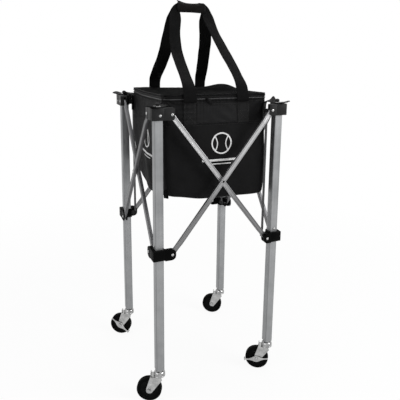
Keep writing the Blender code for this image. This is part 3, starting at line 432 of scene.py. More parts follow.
def slab(top, bottom, open_foot=False):
    """Points and faces of a thin closed piece: two grids of points, joined along their four edges, or along all but
    that of their last row."""
    rows, columns = top.shape[:2]
    block = rows * columns
    c, r = np.arange(columns - 1), np.arange(rows - 1) * columns
    edges = [(c + 1, c), (r, r + columns), (r + 2 * columns - 1, r + columns - 1)]
    if not open_foot:
        edges.append((c + block - columns, c + 1 + block - columns))
    faces = [grid_quads(rows, columns), grid_quads(rows, columns, block)[:, ::-1]]
    faces += [np.stack([a, b, b + block, a + block], axis=1) for a, b in edges]
    return np.concatenate([top.reshape(-1, 3), bottom.reshape(-1, 3)]), np.vstack(faces)


def grid_normals(points, ring=False):
    """Normals of a grid of points from its row and column directions."""
    if ring:
        across = np.roll(points, -1, axis=1) - np.roll(points, 1, axis=1)
    else:
        across = np.gradient(points, axis=1)
    return unit(np.cross(across, np.gradient(points, axis=0)))


def turned_out(faces, points):
    """Faces turned round together if the closed shape's volume, summed over each face's fan of triangles, comes out
    negative."""
    points = np.asarray(points).reshape(-1, 3)
    volume = 0.0
    for size in {len(face) for face in faces}:
        corners = points[np.array([face for face in faces if len(face) == size])]
        volume += np.einsum("ijk,ik->", np.cross(corners[:, 1:-1], corners[:, 2:]), corners[:, 0])
    return [face[::-1] for face in faces] if volume < 0 else faces


def made_mesh(name, points, faces, material, uv=None, normals=None):
    """Smooth object at the origin with these points and faces. uv is one pair a point."""
    mesh = bpy.data.meshes.new(name)
    mesh.from_pydata(np.asarray(points, float).reshape(-1, 3).tolist(), [], [list(map(int, face)) for face in faces])
    mesh.materials.append(material)
    if uv is not None:
        layer = mesh.uv_layers.new(name="cloth")
        corners = np.empty(len(mesh.loops), dtype=np.int32)
        mesh.loops.foreach_get("vertex_index", corners)
        layer.data.foreach_set("uv", np.asarray(uv, np.float32).reshape(-1, 2)[corners].ravel())
    mesh.polygons.foreach_set("use_smooth", np.ones(len(mesh.polygons), bool))
    mesh.validate()
    if normals is not None:
        mesh.normals_split_custom_set_from_vertices(np.asarray(normals, float).reshape(-1, 3).tolist())
    return placed(name, mesh)


def settle(made, body, node=None):
    """Say what a piece rides on, and hide the CAD node it stands for."""
    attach(made, body)
    if node:
        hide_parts(node)


def draw_in(made):
    """Give a soft piece its own copy of its mesh."""
    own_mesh(made)


# The bag's sectors start at its front left corner.
FIRST_TURN, SECTOR_TURN, SECTORS = -135.0, 15.0, 24


def soft_piece(name, points, faces, material, body, uv=None, node=None, sector=None, normals=None):
    """Piece of cloth, webbing or cord. With a sector, it gets its own copy of its mesh."""
    made = made_mesh(name, points, faces, material, uv, normals)
    settle(made, body, node)
    if sector is not None:
        draw_in(made)
    return made


def hard_piece(name, points, material, body, node=None, faces=None, uv=None, hollow=None):
    """Closed hard piece: faces out, and smooth but for its edges of over 38 degrees."""
    faces = carried(points) if faces is None else faces
    made = made_mesh(name, points, turned_out(faces, points), material, uv)
    made.data.set_sharp_from_angle(angle=math.radians(38.0))
    # hollow, where given, is a point attribute of painted shade and painted dark reflection, read by groove_aluminium.
    if hollow is not None:
        layer = made.data.attributes.new("hollow", "FLOAT", "POINT")
        layer.data.foreach_set("value", np.asarray(hollow, np.float32).ravel())
    settle(made, body, node)


# ---- floor and light ----

FLOOR_REACH = 14.0


def white_stage():
    """Pale floor: its own soft shading near the cart, and plain white to the eye farther off."""
    material = bpy.data.materials.new("pale_floor")
    material.use_nodes = True
    tree = material.node_tree
    tree.nodes.clear()
    away = new_node(tree, "VectorMath")
    away.operation = "LENGTH"
    give(tree, away, 0, (new_node(tree, "TexCoord"), "Object"))
    fade = ranged(tree, (away, "Value"), 0.7, 1.9, 1.0, 0.0)
    held = math_node(tree, "SUBTRACT", 1.0, math_node(tree, "MULTIPLY", fade, 0.08))
    mix = new_node(tree, "MixShader")
    for index, value in enumerate((math_node(tree, "MULTIPLY", seen_white(tree), held),
                                   (new_node(tree, "BsdfDiffuse", Color=(0.86, 0.86, 0.86)), 0),
                                   (new_node(tree, "Emission", Strength=1.0), 0))):
        give(tree, mix, index, value)
    new_node(tree, "OutputMaterial", Surface=(mix, 0))
    corners = [(-FLOOR_REACH, -FLOOR_REACH, 0), (FLOOR_REACH, -FLOOR_REACH, 0), (FLOOR_REACH, FLOOR_REACH, 0),
               (-FLOOR_REACH, FLOOR_REACH, 0)]
    made_mesh("floor", corners, [(0, 1, 2, 3)], material)


def seen_white(tree):
    """Mask of the rays that see the studio as white: the camera's, those reflected and those let through."""
    path = new_node(tree, "LightPath")
    shiny = math_node(tree, "MAXIMUM", (path, "Is Glossy Ray"), (path, "Is Transmission Ray"))
    return math_node(tree, "MAXIMUM", (path, "Is Camera Ray"), shiny)


def white_world():
    """Even soft light from all round, seen as white by the camera and in reflections."""
    world = bpy.data.worlds.new("studio")
    bpy.context.scene.world = world
    world.use_nodes = True
    tree = world.node_tree
    give(tree, tree.nodes["Background"], "Color", (1.0, 1.0, 1.0))
    give(tree, tree.nodes["Background"], "Strength", ranged(tree, seen_white(tree), 0.0, 1.0, 0.42, 1.0))


def lamp(name, place, target, size, power):
    """Square area lamp at a place, aimed at a target, both from the cart's centre on the floor."""
    data = bpy.data.lights.new(name, "AREA")
    data.shape = "SQUARE"
    data.size = size
    data.energy = power
    made = placed(name, data)
    made.location = Vector(CENTRE) + Vector(place)
    made.rotation_euler = (Vector(target) - Vector(place)).to_track_quat("-Z", "Y").to_euler()


set_camera()
white_stage()
white_world()
lamp("key", (1.9, -2.0, 1.9), (0, 0, 0.6), 1.3, 52.0)
lamp("side", (-2.4, -0.9, 1.5), (0, 0, 0.6), 1.6, 18.0)
lamp("above", (0.1, 0.3, 2.9), (0, 0, 0.5), 1.6, 22.0)
bpy.context.scene.view_settings.view_transform = "Standard"


# ---- frame parts. Depths on a side count outwards from the legs' middle plane ----

HALF_SPACING = 0.1908
TOP_PIVOT, SLIDER_PIVOT = 0.898, 0.488
LEFT_PIVOT, RIGHT_PIVOT = -HALF_SPACING + 0.036, HALF_SPACING - 0.028
CORD_X, CORD_DEPTH = HALF_SPACING - 0.028, -0.0135
LEG_HALF, CHAMFER = 0.0125, 0.0003
BAR_HALF, BAR_HALF_DEEP = 0.00725, 0.0035
BAR_FACES = {"outer": ((0.0118, 0.0188), (0.0118, 0.0216)), "inner": ((0.0042, 0.0112), (0.0006, 0.0112))}
PIVOT_HEAD, PIVOT_TAIL = 0.0225, 0.0037


def side_place(side, x, depth, z):
    """Point on a side of the cart: x to the right seen from outside, depth outwards from the legs' middle plane."""
    turn = math.radians(90.0 * SIDES.index(side))
    y = -(HALF_SPACING + depth)
    return spread(CENTRE[0] + x * math.cos(turn) - y * math.sin(turn),
                  CENTRE[1] + x * math.sin(turn) + y * math.cos(turn), z)


def round_corners(half_wide, half_tall, radius, count, face):
    """Closed outline of a rectangle with round corners, counter-clockwise from its right side, with extra points on
    its long faces. Returned as two arrays."""
    turn = np.linspace(0, math.pi / 2, count)
    wide, tall = half_wide - radius, half_tall - radius
    parts = []
    for k, (cx, cy) in enumerate(((wide, tall), (-wide, tall), (-wide, -tall), (wide, -tall))):
        angle = turn + k * math.pi / 2
        parts.append(spread(cx + radius * np.cos(angle), cy + radius * np.sin(angle)))
        if k in (0, 2):
            run = np.linspace(wide, -wide, face + 2)[1:-1] * (1 - k)
            parts.append(spread(run, half_tall * (1 - k)))
    return np.concatenate(parts).T


def build_bar(side, kind, material):
    """Tube with round ends pressed flat for the joints: a rounded rectangle with two grooves and a sunk middle on each
    face, carried between its pivots. Near an end its width follows a half circle and its depth eases from that of the
    pressed end, 7 mm, to that of the tube."""
    start, stop = (LEFT_PIVOT, RIGHT_PIVOT) if kind == "inner" else (RIGHT_PIVOT, LEFT_PIVOT)
    length = math.hypot(stop - start, TOP_PIVOT - SLIDER_PIVOT)
    along = np.array([(stop - start) / length, -(TOP_PIVOT - SLIDER_PIVOT) / length])
    beside = np.array([-along[1], along[0]])
    across, deep = round_corners(BAR_HALF, BAR_HALF_DEEP, 0.0011, 5, 44)
    groove = np.exp(-((np.abs(across) - 0.0044) / 0.00055) ** 4)
    sunk = eased(0.0036 - np.abs(across), 0.0, 0.0006)
    on_face = np.abs(deep) > BAR_HALF_DEEP - 0.0002
    # hollow is painted shade, full in the grooves and at 0.15 in the sunk middle, and painted dark reflection, at 0.55,
    # on the bar's narrow sides.
    hollow = np.where(on_face, groove + 0.15 * sunk, 0.55)
    deep = deep - np.sign(deep) * np.where(on_face, 0.00055 * groove + 0.00022 * sunk, 0.0)
    lead = BAR_HALF * 0.999 * np.sin(np.linspace(0, math.pi / 2, 9))[:-1]
    run = np.concatenate([-lead[::-1], np.linspace(0, length, 40)[1:-1], length + lead])[:, None]
    over = np.maximum(np.maximum(-run, run - length), 0)
    wide = across * np.sqrt(np.maximum(BAR_HALF ** 2 - over ** 2, 1e-9)) / BAR_HALF
    swell = eased(np.minimum(run, length - run), 0.024, 0.034)
    (end_back, end_front), (tube_back, tube_front) = BAR_FACES[kind]
    back, front = end_back + (tube_back - end_back) * swell, end_front + (tube_front - end_front) * swell
    points = side_place(side, start + run * along[0] + wide * beside[0],
                        (back + front) / 2 + deep * (front - back) / (2 * BAR_HALF_DEEP),
                        TOP_PIVOT + run * along[1] + wide * beside[1])
    bar = f"bar_{kind}_{side}"
    hard_piece(f"bar_{kind}_stock_{side}", points, material, bar, bar,
               uv=spread(run, run_along(spread(across, deep))), hollow=np.broadcast_to(hollow, points.shape[:2]))


def spun(profile, steps, place):
    """Solid of revolution: a profile of (radius, height) turned about its axis, closed at its first and last point.
    place turns (radius, angle, height) arrays into points."""
    radius, height = np.asarray(profile, float).T
    return place(radius[:, None], whole_turn(steps), height[:, None])


def spun_on_side(side, x, z, profile, steps):
    """Solid of revolution whose axis stands square to a side. Its heights are depths."""
    return spun(profile, steps, lambda r, a, h: side_place(side, x + r * np.cos(a), h, z + r * np.sin(a)))


def pinned(head, head_profile, tail, tail_profile):
    """Profile of a rivet, whose points are (radius, depth from its head's or its tail's face)."""
    return np.vstack([np.add(head_profile, (0.0, head)), np.add(tail_profile, (0.0, tail))])


def build_pivots(side, kind, material):
    """Both pivot rivets of a bar, each with a low domed head and a rolled tail."""
    back = BAR_FACES[kind][0][0] - PIVOT_TAIL
    profile = pinned(PIVOT_HEAD, [(0.0002, 0.0019), (0.0012, 0.00186), (0.0022, 0.0017), (0.0031, 0.0014),
                                  (0.0038, 0.0010), (0.0042, 0.0005), (0.0043, 0.0), (0.0025, -0.0001)],
                     back, [(0.0025, 0.0001), (0.0036, 0.0), (0.0037, -0.0006), (0.0033, -0.0012),
                            (0.0022, -0.0013), (0.0013, -0.0011), (0.0002, -0.0007)])
    top, low = (RIGHT_PIVOT, LEFT_PIVOT) if kind == "outer" else (LEFT_PIVOT, RIGHT_PIVOT)
    for label, x, z in (("top", top, TOP_PIVOT), ("low", low, SLIDER_PIVOT)):
        hard_piece(f"pivot_{kind}_{label}_{side}", spun_on_side(side, x, z, profile, 24), material,
                   f"bar_{kind}_{side}", f"bar_{kind}_{side}")


def build_crossing(side, washer, hole_shade):
    """Rivet where two bars cross: a pale washer, and a small near-black disc in its middle that is painted shade for
    its hollow eye.
    """
    x, z = (LEFT_PIVOT + RIGHT_PIVOT) / 2, (TOP_PIVOT + SLIDER_PIVOT) / 2
    front, back = BAR_FACES["outer"][1][1] + 0.0003, BAR_FACES["inner"][1][0] - 0.0003
    rivet = pinned(front, [(0.0002, 0.0004), (0.0034, 0.0004), (0.0037, 0.0015), (0.0042, 0.0019), (0.0049, 0.0014),
                           (0.0055, 0.0004), (0.0055, 0.0), (0.0025, -0.0001)],
                   back, [(0.0025, 0.0001), (0.0037, 0.0), (0.0037, -0.0009), (0.0030, -0.0013), (0.0002, -0.0013)])
    cup = np.add([(0.0002, 0.0008), (0.0030, 0.0009), (0.0035, 0.0014), (0.0036, 0.0006), (0.0002, 0.0005)],
                 (0.0, front))
    # The eye's disc takes a near-black material: painted shade where the rivet is hollow.
    for label, profile, steps, material in (("rivet", rivet, 24, washer), ("hole_shade", cup, 16, hole_shade)):
        hard_piece(f"crossing_{label}_{side}", spun_on_side(side, x, z, profile, steps), material,
                   f"bar_outer_{side}", f"crossing_pin_{side}")


def build_lift_cord(corner, cord, fitting):
    """Elastic lift cord inside the bars, from the bracket down to the slider: a straight braided sleeve hung on the
    bracket, a thinner cord that draws out of it with the slider, and a moulded fitting at each end."""
    side = SIDES[(CORNERS.index(corner) + 3) % 4]
    high, low = TOP_PIVOT - 0.004, SLIDER_PIVOT + 0.002
    parts = (("sleeve", 0.0037, high, low + 0.012, "leg_"), ("draw", 0.0032, high - 0.10, low, "slider_"))
    for label, radius, top, bottom, body in parts:
        wall = spread(radius, np.linspace(bottom, top, 30)[1:-1])
        profile = np.vstack([[(0.0002, bottom), (radius * 0.85, bottom)], wall,
                             [(radius * 0.85, top), (0.0002, top)]])
        points = spun(profile, 14, lambda r, a, h: side_place(side, CORD_X + r * np.cos(a),
                                                              CORD_DEPTH + r * np.sin(a), h))
        hard_piece(f"lift_cord_{label}_{corner}", points, cord, body + corner,
                   uv=spread(profile[:, 1:], np.arange(14) * 0.0017))
    wide, deep = round_corners(0.0105, 0.0052, 0.0022, 5, 2)
    rise, inset = np.array([[-0.0052, -0.0048, 0.0048, 0.0052], [0.93, 1.0, 1.0, 0.93]])[:, :, None]
    for label, height, body in (("top", high, "leg_"), ("low", low, "slider_")):
        points = side_place(side, CORD_X + 0.0045 + wide * inset, CORD_DEPTH + 0.0012 + deep * inset, height + rise)
        hard_piece(f"lift_cord_fitting_{label}_{corner}", points, fitting, body + corner)


def build_leg(corner, material):
    """Square tube: a rounded square outline carried up outside, over a small chamfer, and down inside."""
    outside = spread(*round_corners(LEG_HALF, LEG_HALF, 0.0021, 8, 12))
    inside = spread(*round_corners(0.0110, 0.0110, 0.0008, 8, 12))
    foot, head = (point[2] for point in box_of("leg_" + corner))
    heights = np.concatenate([[foot, foot + CHAMFER], np.linspace(foot + 0.02, head - 0.02, 14),
                              [head - CHAMFER, head]])[:, None]
    inset = np.ones_like(heights)
    inset[[0, -1]] -= CHAMFER / LEG_HALF
    rings = np.concatenate([spread(outside[:, 0] * inset, outside[:, 1] * inset, heights),
                            spread(inside[:, 0], inside[:, 1], heights)[::-1]]) + LEG_CENTRES[corner] * [1, 1, 0]
    # hollow is painted dark reflection along the tube's four rounded edges, and painted shade at half strength over its
    # inside.
    edge = np.abs(np.abs(outside) - LEG_HALF).sum(axis=1)
    shape = (len(heights), len(outside))
    hollow = np.concatenate([np.broadcast_to(np.exp(-(edge / 0.0016) ** 2), shape), np.full(shape, 0.5)])
    hard_piece("leg_tube_" + corner, rings, material, "leg_" + corner, "leg_" + corner, looped(rings),
               spread(rings[..., 2], run_along(outside)), hollow)


def softened(node, material, width, body):
    """Copy of a CAD node in its own place: its loose triangles merged, its flat faces joined and its edges of over 28
    degrees rounded by a bevel."""
    shape = bmesh.new()
    shape.from_mesh(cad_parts[node].data)
    bmesh.ops.remove_doubles(shape, verts=shape.verts, dist=2e-6)
    bmesh.ops.dissolve_limit(shape, angle_limit=math.radians(1.5), verts=shape.verts, edges=shape.edges)
    mesh = bpy.data.meshes.new("soft_edged_" + node)
    shape.to_mesh(mesh)
    shape.free()
    mesh.materials.append(material)
    mesh.polygons.foreach_set("use_smooth", np.ones(len(mesh.polygons), bool))
    made = placed("soft_edged_" + node, mesh)
    bevel = made.modifiers.new("rounded_edges", "BEVEL")
    bevel.width = width
    bevel.segments = 2
    bevel.limit_method = "ANGLE"
    bevel.angle_limit = math.radians(28.0)
    bevel.use_clamp_overlap = True
    bevel.harden_normals = True
    settle(made, body, node)


# ---- casters ----

WHEEL_SIDE = [(0.0043, 0.0110), (0.0092, 0.0110), (0.0101, 0.0106), (0.0106, 0.0096), (0.0110, 0.0074),
              (0.0120, 0.0060), (0.0150, 0.0056), (0.0200, 0.0056), (0.0250, 0.0056), (0.0274, 0.0060),
              (0.0288, 0.0072), (0.0294, 0.0090), (0.0300, 0.0097), (0.0306, 0.0097)]
TYRE_SIDE = [(0.0306, 0.0092), (0.0312, 0.0099), (0.0325, 0.0100), (0.0350, 0.0100), (0.0366, 0.0098),
             (0.0378, 0.0091), (0.0386, 0.0077), (0.0389, 0.0060), (0.0390, 0.0040), (0.0390, 0.0013),
             (0.0388, 0.0006)]
CAP_PROFILE = [(0.0107, 0.1377), (0.0107, 0.1080), (0.0120, 0.1077), (0.0121, 0.1066), (0.0106, 0.1056),
               (0.0103, 0.1046), (0.0118, 0.1040), (0.0140, 0.1028), (0.0158, 0.1008), (0.0170, 0.0982),
               (0.0176, 0.0955), (0.0177, 0.0930), (0.0174, 0.0918), (0.0169, 0.0912), (0.0169, 0.0902),
               (0.0175, 0.0896), (0.0177, 0.0886), (0.0176, 0.0870), (0.0170, 0.0864)]


def build_wheel(corner, tyre, core):
    """Caster wheel: a spoked core with its hub, and a round-shouldered tyre with a fine moulding line. Each is a half
    profile of (radius, half width), mirrored into a closed ring and turned about the axle. The core's web swells into
    five rounded spokes: its width grows by a power of the cosine of five times the angle."""
    leg, hub = LEG_CENTRES[corner], middle_of("wheel_" + corner)
    yaw = math.atan2(hub[1] - leg[1], hub[0] - leg[0])
    ahead = np.array([math.cos(yaw), math.sin(yaw), 0.0])
    axle = np.array([-math.sin(yaw), math.cos(yaw), 0.0])
    angle = whole_turn(120)[:, None]
    turned = np.cos(angle) * ahead + np.sin(angle) * UP
    for name, half, ribs, material in (("wheel_core_", WHEEL_SIDE, 0.0026, core), ("tyre_", TYRE_SIDE, 0.0, tyre)):
        profile = np.concatenate([half, np.array(half)[::-1] * [1, -1]])
        radius, deep = profile[:, :1], profile[:, 1:]
        web = eased(radius, 0.0112, 0.0135) * (1 - eased(radius, 0.0250, 0.0285))
        deep = deep + np.sign(deep) * ribs * web * np.clip(np.cos(5 * angle[:, 0]), 0, 1) ** 3
        points = hub + radius[..., None] * turned + deep[..., None] * axle
        hard_piece(name + corner, points, material, "wheel_" + corner, "wheel_" + corner, looped(points))


def build_cap(corner, material):
    """Swivel housing: a stem in the tube, a collar, a full dome and a pressed bead over the ball race."""
    leg = LEG_CENTRES[corner]
    points = spun(CAP_PROFILE, 56, lambda r, a, h: spread(leg[0] + r * np.cos(a), leg[1] + r * np.sin(a), h))
    hard_piece("swivel_housing_" + corner, points, material, "leg_" + corner, "swivel_cap_" + corner)


for side in SIDES:
    for kind in ("inner", "outer"):
        # Front and rear bars take the painted-light copy of the aluminium, left and right bars the painted-shade copy.
        build_bar(side, kind, LIT_FACE_BAR if side in ("front", "rear") else SHADED_FLANK_BAR)
        build_pivots(side, kind, RIVET)
    # The slider nylon on the crossing's eye is painted shade.
    build_crossing(side, RIVET, SLIDER_NYLON)
for corner in CORNERS:
    build_leg(corner, LEG_FINISH)
    build_wheel(corner, RUBBER, CORE)
    build_cap(corner, BRIGHT)
    for node, material, width, body, slot in (
            ("corner_bracket_", NYLON, 0.0007, "leg_", "black_nylon"),
            ("slider_", SLIDER_NYLON, 0.0007, "slider_", "black_nylon"),
            ("fork_", ZINC, 0.0006, "fork_", "steel"), ("axle_", RIVET, 0.0004, "fork_", "steel"),
            ("leg_rivet_", RIVET, 0.0006, "leg_", "steel"), ("snap_button_", RIVET, 0.0006, "snap_button_", "steel")):
        softened(node + corner, material, width, body + corner)
for corner in ("front_right", "rear_left"):
    softened("brake_lever_" + corner, ZINC, 0.0005, "brake_lever_" + corner)


# ---- the bag: 24 sectors of 15 degrees round its axis, from its front left corner ----

BAG_TOP, BAG_HALF, BAG_WALL, BAG_DEPTH = 0.9305, 0.1645, 0.0022, 0.29
LID_LOW, LID_WALL = 0.9308, 0.0016
CORNER_COLUMNS, SIDE_COLUMNS = 30, 56
FRONT_LIFT = 0.0072
SIDE_MIDDLE = {"front": -90.0, "right": 0.0, "rear": 90.0, "left": 180.0}
PROFILE = catmull([(0.1638, 0.9305), (0.1650, 0.9000), (0.1660, 0.8500), (0.1664, 0.7900), (0.1662, 0.7350),
                   (0.1660, 0.6950), (0.1658, 0.6680), (0.1654, 0.6520), (0.1643, 0.6405), (0.1612, 0.6338),
                   (0.1540, 0.6316), (0.1400, 0.6311), (0.1000, 0.6310), (0.0700, 0.6310), (0.0030, 0.6310)], 150)
LID_PROFILE = catmull([(0.1650, 0.0), (0.1654, 0.0035), (0.1650, 0.0064), (0.1634, 0.0082), (0.1580, 0.0090),
                       (0.1400, 0.0092), (0.1000, 0.0092), (0.0500, 0.0092), (0.0030, 0.0092)], 84)


def sector_turns():
    """Directions round the bag, whose columns draw closer together towards each corner by a power of 1.7."""
    share = np.arange(CORNER_COLUMNS) / CORNER_COLUMNS
    middle = np.arange(SIDE_COLUMNS) / SIDE_COLUMNS * 60 + 15
    side = np.concatenate([share ** 1.7 * 15, middle, 90 - (1 - share) ** 1.7 * 15])
    return np.radians(np.concatenate([side + 90 * k for k in range(4)]) + FIRST_TURN)


TURN = sector_turns()
SECTOR_ENDS = np.concatenate([[0], np.cumsum((CORNER_COLUMNS, 14, 14, 14, 14, CORNER_COLUMNS) * 4)])


def sector_line(sector, count):
    """Directions from one end of a sector to its other, closer together towards a corner."""
    whole = np.append(TURN, TURN[0] + 2 * math.pi)
    return np.interp(np.linspace(*SECTOR_ENDS[sector:sector + 2], count), np.arange(len(whole)), whole)


def sector_of(angle):
    """Number of the sector that a direction lies in."""
    return np.floor((np.degrees(angle) - FIRST_TURN) / SECTOR_TURN + 1e-6).astype(int) % SECTORS


def square_reach(angle, half, corner):
    """Distance from the axis to a square with round corners: half / cos on its flats, and the far crossing
    with the corner's circle elsewhere."""
    fold = np.abs((angle + math.pi / 4) % (math.pi / 2) - math.pi / 4)
    corner = np.minimum(corner, half * 0.98)
    middle = half - corner
    along = middle * (np.cos(fold) + np.sin(fold))
    arc = along + np.sqrt(np.maximum(along ** 2 - 2 * middle ** 2 + corner ** 2, 0))
    return np.where(half * np.tan(fold) > middle, arc, half / np.cos(fold))


def side_share(angle):
    """Place across a side, from -1 at one corner over 0 at its middle to 1 at the next."""
    return np.tan((angle + math.pi / 4) % (math.pi / 2) - math.pi / 4)


def near_corner(angle, corner, width):
    """Bell curve of the direction about a corner, given in degrees."""
    away = (angle - math.radians(corner) + math.pi) % (2 * math.pi) - math.pi
    return np.exp(-(away / width) ** 2)


def rim_drop(angle):
    """How far the rim hangs below its level: by a bell curve each, the rear right tab pulls it down and the rear left
    corner stands up, and the raised handle holds the front edge up. That lift grows from the rear edge to the front by
    a power of 1.5."""
    ahead = -np.sin(angle) / np.maximum(np.abs(np.cos(angle)), np.abs(np.sin(angle)))
    return (0.0030 * near_corner(angle, 45, 0.15) - 0.0036 * near_corner(angle, 135, 0.34)
            - FRONT_LIFT * ((1 + ahead) / 2) ** 1.5)


def corner_rise(angle):
    """How far the floor's corners draw up as the empty bag hangs, most at the rear left: a bell curve about each."""
    return (0.0155 * near_corner(angle, -135, 0.34) - 0.0050 * near_corner(angle, -45, 0.26)
            + 0.016 * near_corner(angle, 45, 0.38) + 0.038 * near_corner(angle, 135, 0.42))


def corner_radius(angle, height):
    """Corners creased tight at the rim, whose radius eases up with the depth, but for the front left one, which is
    round at the rim too, and the front right one, which stays creased. Bell curves pick these out."""
    depth = BAG_TOP - height
    slack = 0.010 * eased(depth, 0.0, 0.16) + 0.009 * eased(depth, 0.16, 0.27)
    return (0.009 + slack * (1 - 0.72 * near_corner(angle, -45, 0.5) - 0.5 * near_corner(angle, 135, 0.4))
            + 0.018 * near_corner(angle, -135, 0.6) * eased(height, 0.902, 0.926))


def ripple(angle, height, seed):
    """Smooth cloth unevenness from -1 to 1: a sum of 14 sines in the angle and the height, with seeded directions."""
    draw = np.random.default_rng(seed)
    total = np.zeros(np.broadcast(angle, height).shape)
    for _ in range(14):
        turns = draw.integers(2, 22)
        waves = draw.uniform(1.0, 5.0) * 6.0
        total += draw.uniform(0.3, 1.0) * np.sin(turns * angle + waves * height / 0.3 + draw.uniform(0, 6.28))
    return total / math.sqrt(14)


def drape(angle, height):
    """Outward lift of the wall, a sum of seven parts: a full panel between the corners, a parabola across by a sine
    down; creases that run from each corner tab into the panels, a sine of their slant that fades by a bell curve;
    level folds by the front left tab; short puckers under the rim; slack unevenness; a bulge at the rear left corner;
    and a slack hem at the floor."""
    across = side_share(angle)
    down = np.clip((BAG_TOP - height) / BAG_DEPTH, 0, 1)
    full = 0.0042 * (1 - across ** 2) * np.sin(np.pi * np.clip(down * 0.93 + 0.04, 0, 1)) ** 1.3
    from_corner = (1 - np.abs(across)) * 0.165
    depth = down * BAG_DEPTH
    away = np.hypot(from_corner, depth)
    slant = np.arctan2(depth, from_corner + 0.004)
    crease = 0.0017 * np.sin(slant * 13.0 + 1.3 * np.sign(across)) * np.exp(-(away / 0.085) ** 2)
    level = near_corner(angle, -121, 0.17) * eased(depth, 0.004, 0.016) * (1 - eased(depth, 0.050, 0.095))
    level = 0.0012 * level * np.sin(depth * 2 * np.pi / 0.0135 + from_corner * 16.0)
    pucker = 0.0005 * np.sin(angle * 96.0 + 2.0 * np.sin(angle * 7.0)) * np.exp(-(depth / 0.035) ** 2)
    slack = 0.0012 * ripple(angle, height, 11) * eased(depth, 0.01, 0.07)
    pulled = 0.0050 * near_corner(angle, 135, 0.22) * eased(depth, 0.060, 0.095) * (1 - eased(depth, 0.15, 0.22))
    hang = 0.0016 * np.sin(across * 5.2 + 2.2 * np.sin(angle * 2 + 0.7)) * eased(depth, 0.12, 0.24)
    return (full + crease * eased(away, 0.004, 0.03) + level + pucker + slack + pulled
            + hang * (1 - np.abs(across)) * 2)


def wall_point(angle, half, height, lift=0.0):
    """Point of the bag's outer surface: the rounded square at this half width, lifted by the drape and leaning a
    little to the front right as it hangs, its floor drawn up at the corners and its rim pulled down there."""
    across = np.clip(side_share(angle), -1, 1)
    wall = np.clip(half / 0.15, 0, 1)
    reach = square_reach(angle, half, corner_radius(angle, height)) + (drape(angle, height) + lift) * wall ** 3
    x, y = reach * np.cos(angle), reach * np.sin(angle)
    dip = rim_drop(angle) * eased(height, 0.80, 0.93)
    rise = (corner_rise(angle) - 0.005 * (1 - across ** 2)) * eased(0.80 - height, 0.0, 0.15) * wall ** 2
    lumps = 0.0012 * (1 - wall ** 3) * np.sin(x * 90) * np.sin(y * 84)
    lean = eased(BAG_TOP - height, 0.02, 0.24)
    return spread(CENTRE[0] + x + 0.0040 * lean, CENTRE[1] + y - 0.0030 * lean, height - dip + rise + lumps)


def wall_at(angle, height, lift):
    """Point of the upright wall at a direction and a height, whose half width comes from the profile."""
    upright = PROFILE[:, 0] > 0.135
    half = np.interp(height, PROFILE[upright, 1][::-1], PROFILE[upright, 0][::-1])
    return wall_point(angle, half, height, lift)


def lid_rise(x, y, half):
    """Height of the lid's cloth over its rim: a shallow crown by a cosine of the half width, a broad swell in its
    right half where it is pushed up from inside and a hollow beside that, both bell curves, and loose folds between,
    which are sines."""
    crown = 0.0055 * np.cos(np.clip(half / 0.165, 0, 1) * math.pi / 2) ** 0.8
    swell = 0.0185 * np.exp(-((x - 0.094) / 0.052) ** 2 - ((y - 0.005) / 0.075) ** 2)
    hollow = -0.0030 * np.exp(-((x + 0.03) / 0.05) ** 2 - ((y + 0.03) / 0.08) ** 2)
    folds = 0.0011 * np.sin(x * 62 + 1.8 * np.sin(y * 21)) * np.sin(y * 27 + 0.6) + 0.0006 * np.sin((x + y) * 88)
    pull = 0.0012 * np.sin((x + 0.7 * y) * 105) * np.exp(-(np.hypot(x + 0.165, y + 0.165) / 0.075) ** 2)
    return crown + (swell + hollow + folds + pull) * eased(0.163 - half, 0.0, 0.055)


def lid_point(angle, half, above):
    """Point of the lid's outer skin at a direction, half width and height over its lower edge: the rounded square at
    this half width, raised by the lid's cloth and dropped with the rim."""
    corner = 0.0085 + 0.018 * near_corner(angle, -135, 0.6) + 0.012 * eased(0.165 - half, 0.0, 0.03)
    reach = square_reach(angle, half, corner)
    x, y = reach * np.cos(angle), reach * np.sin(angle)
    dip = rim_drop(angle) * eased(half, 0.06, 0.164)
    wave = 0.0005 * np.sin(angle * 40.0) * eased(half, 0.14, 0.16)
    z = LID_LOW + above + lid_rise(x, y, half) * eased(above, 0.004, 0.009) - dip + wave
    return spread(CENTRE[0] + x, CENTRE[1] + y, z)


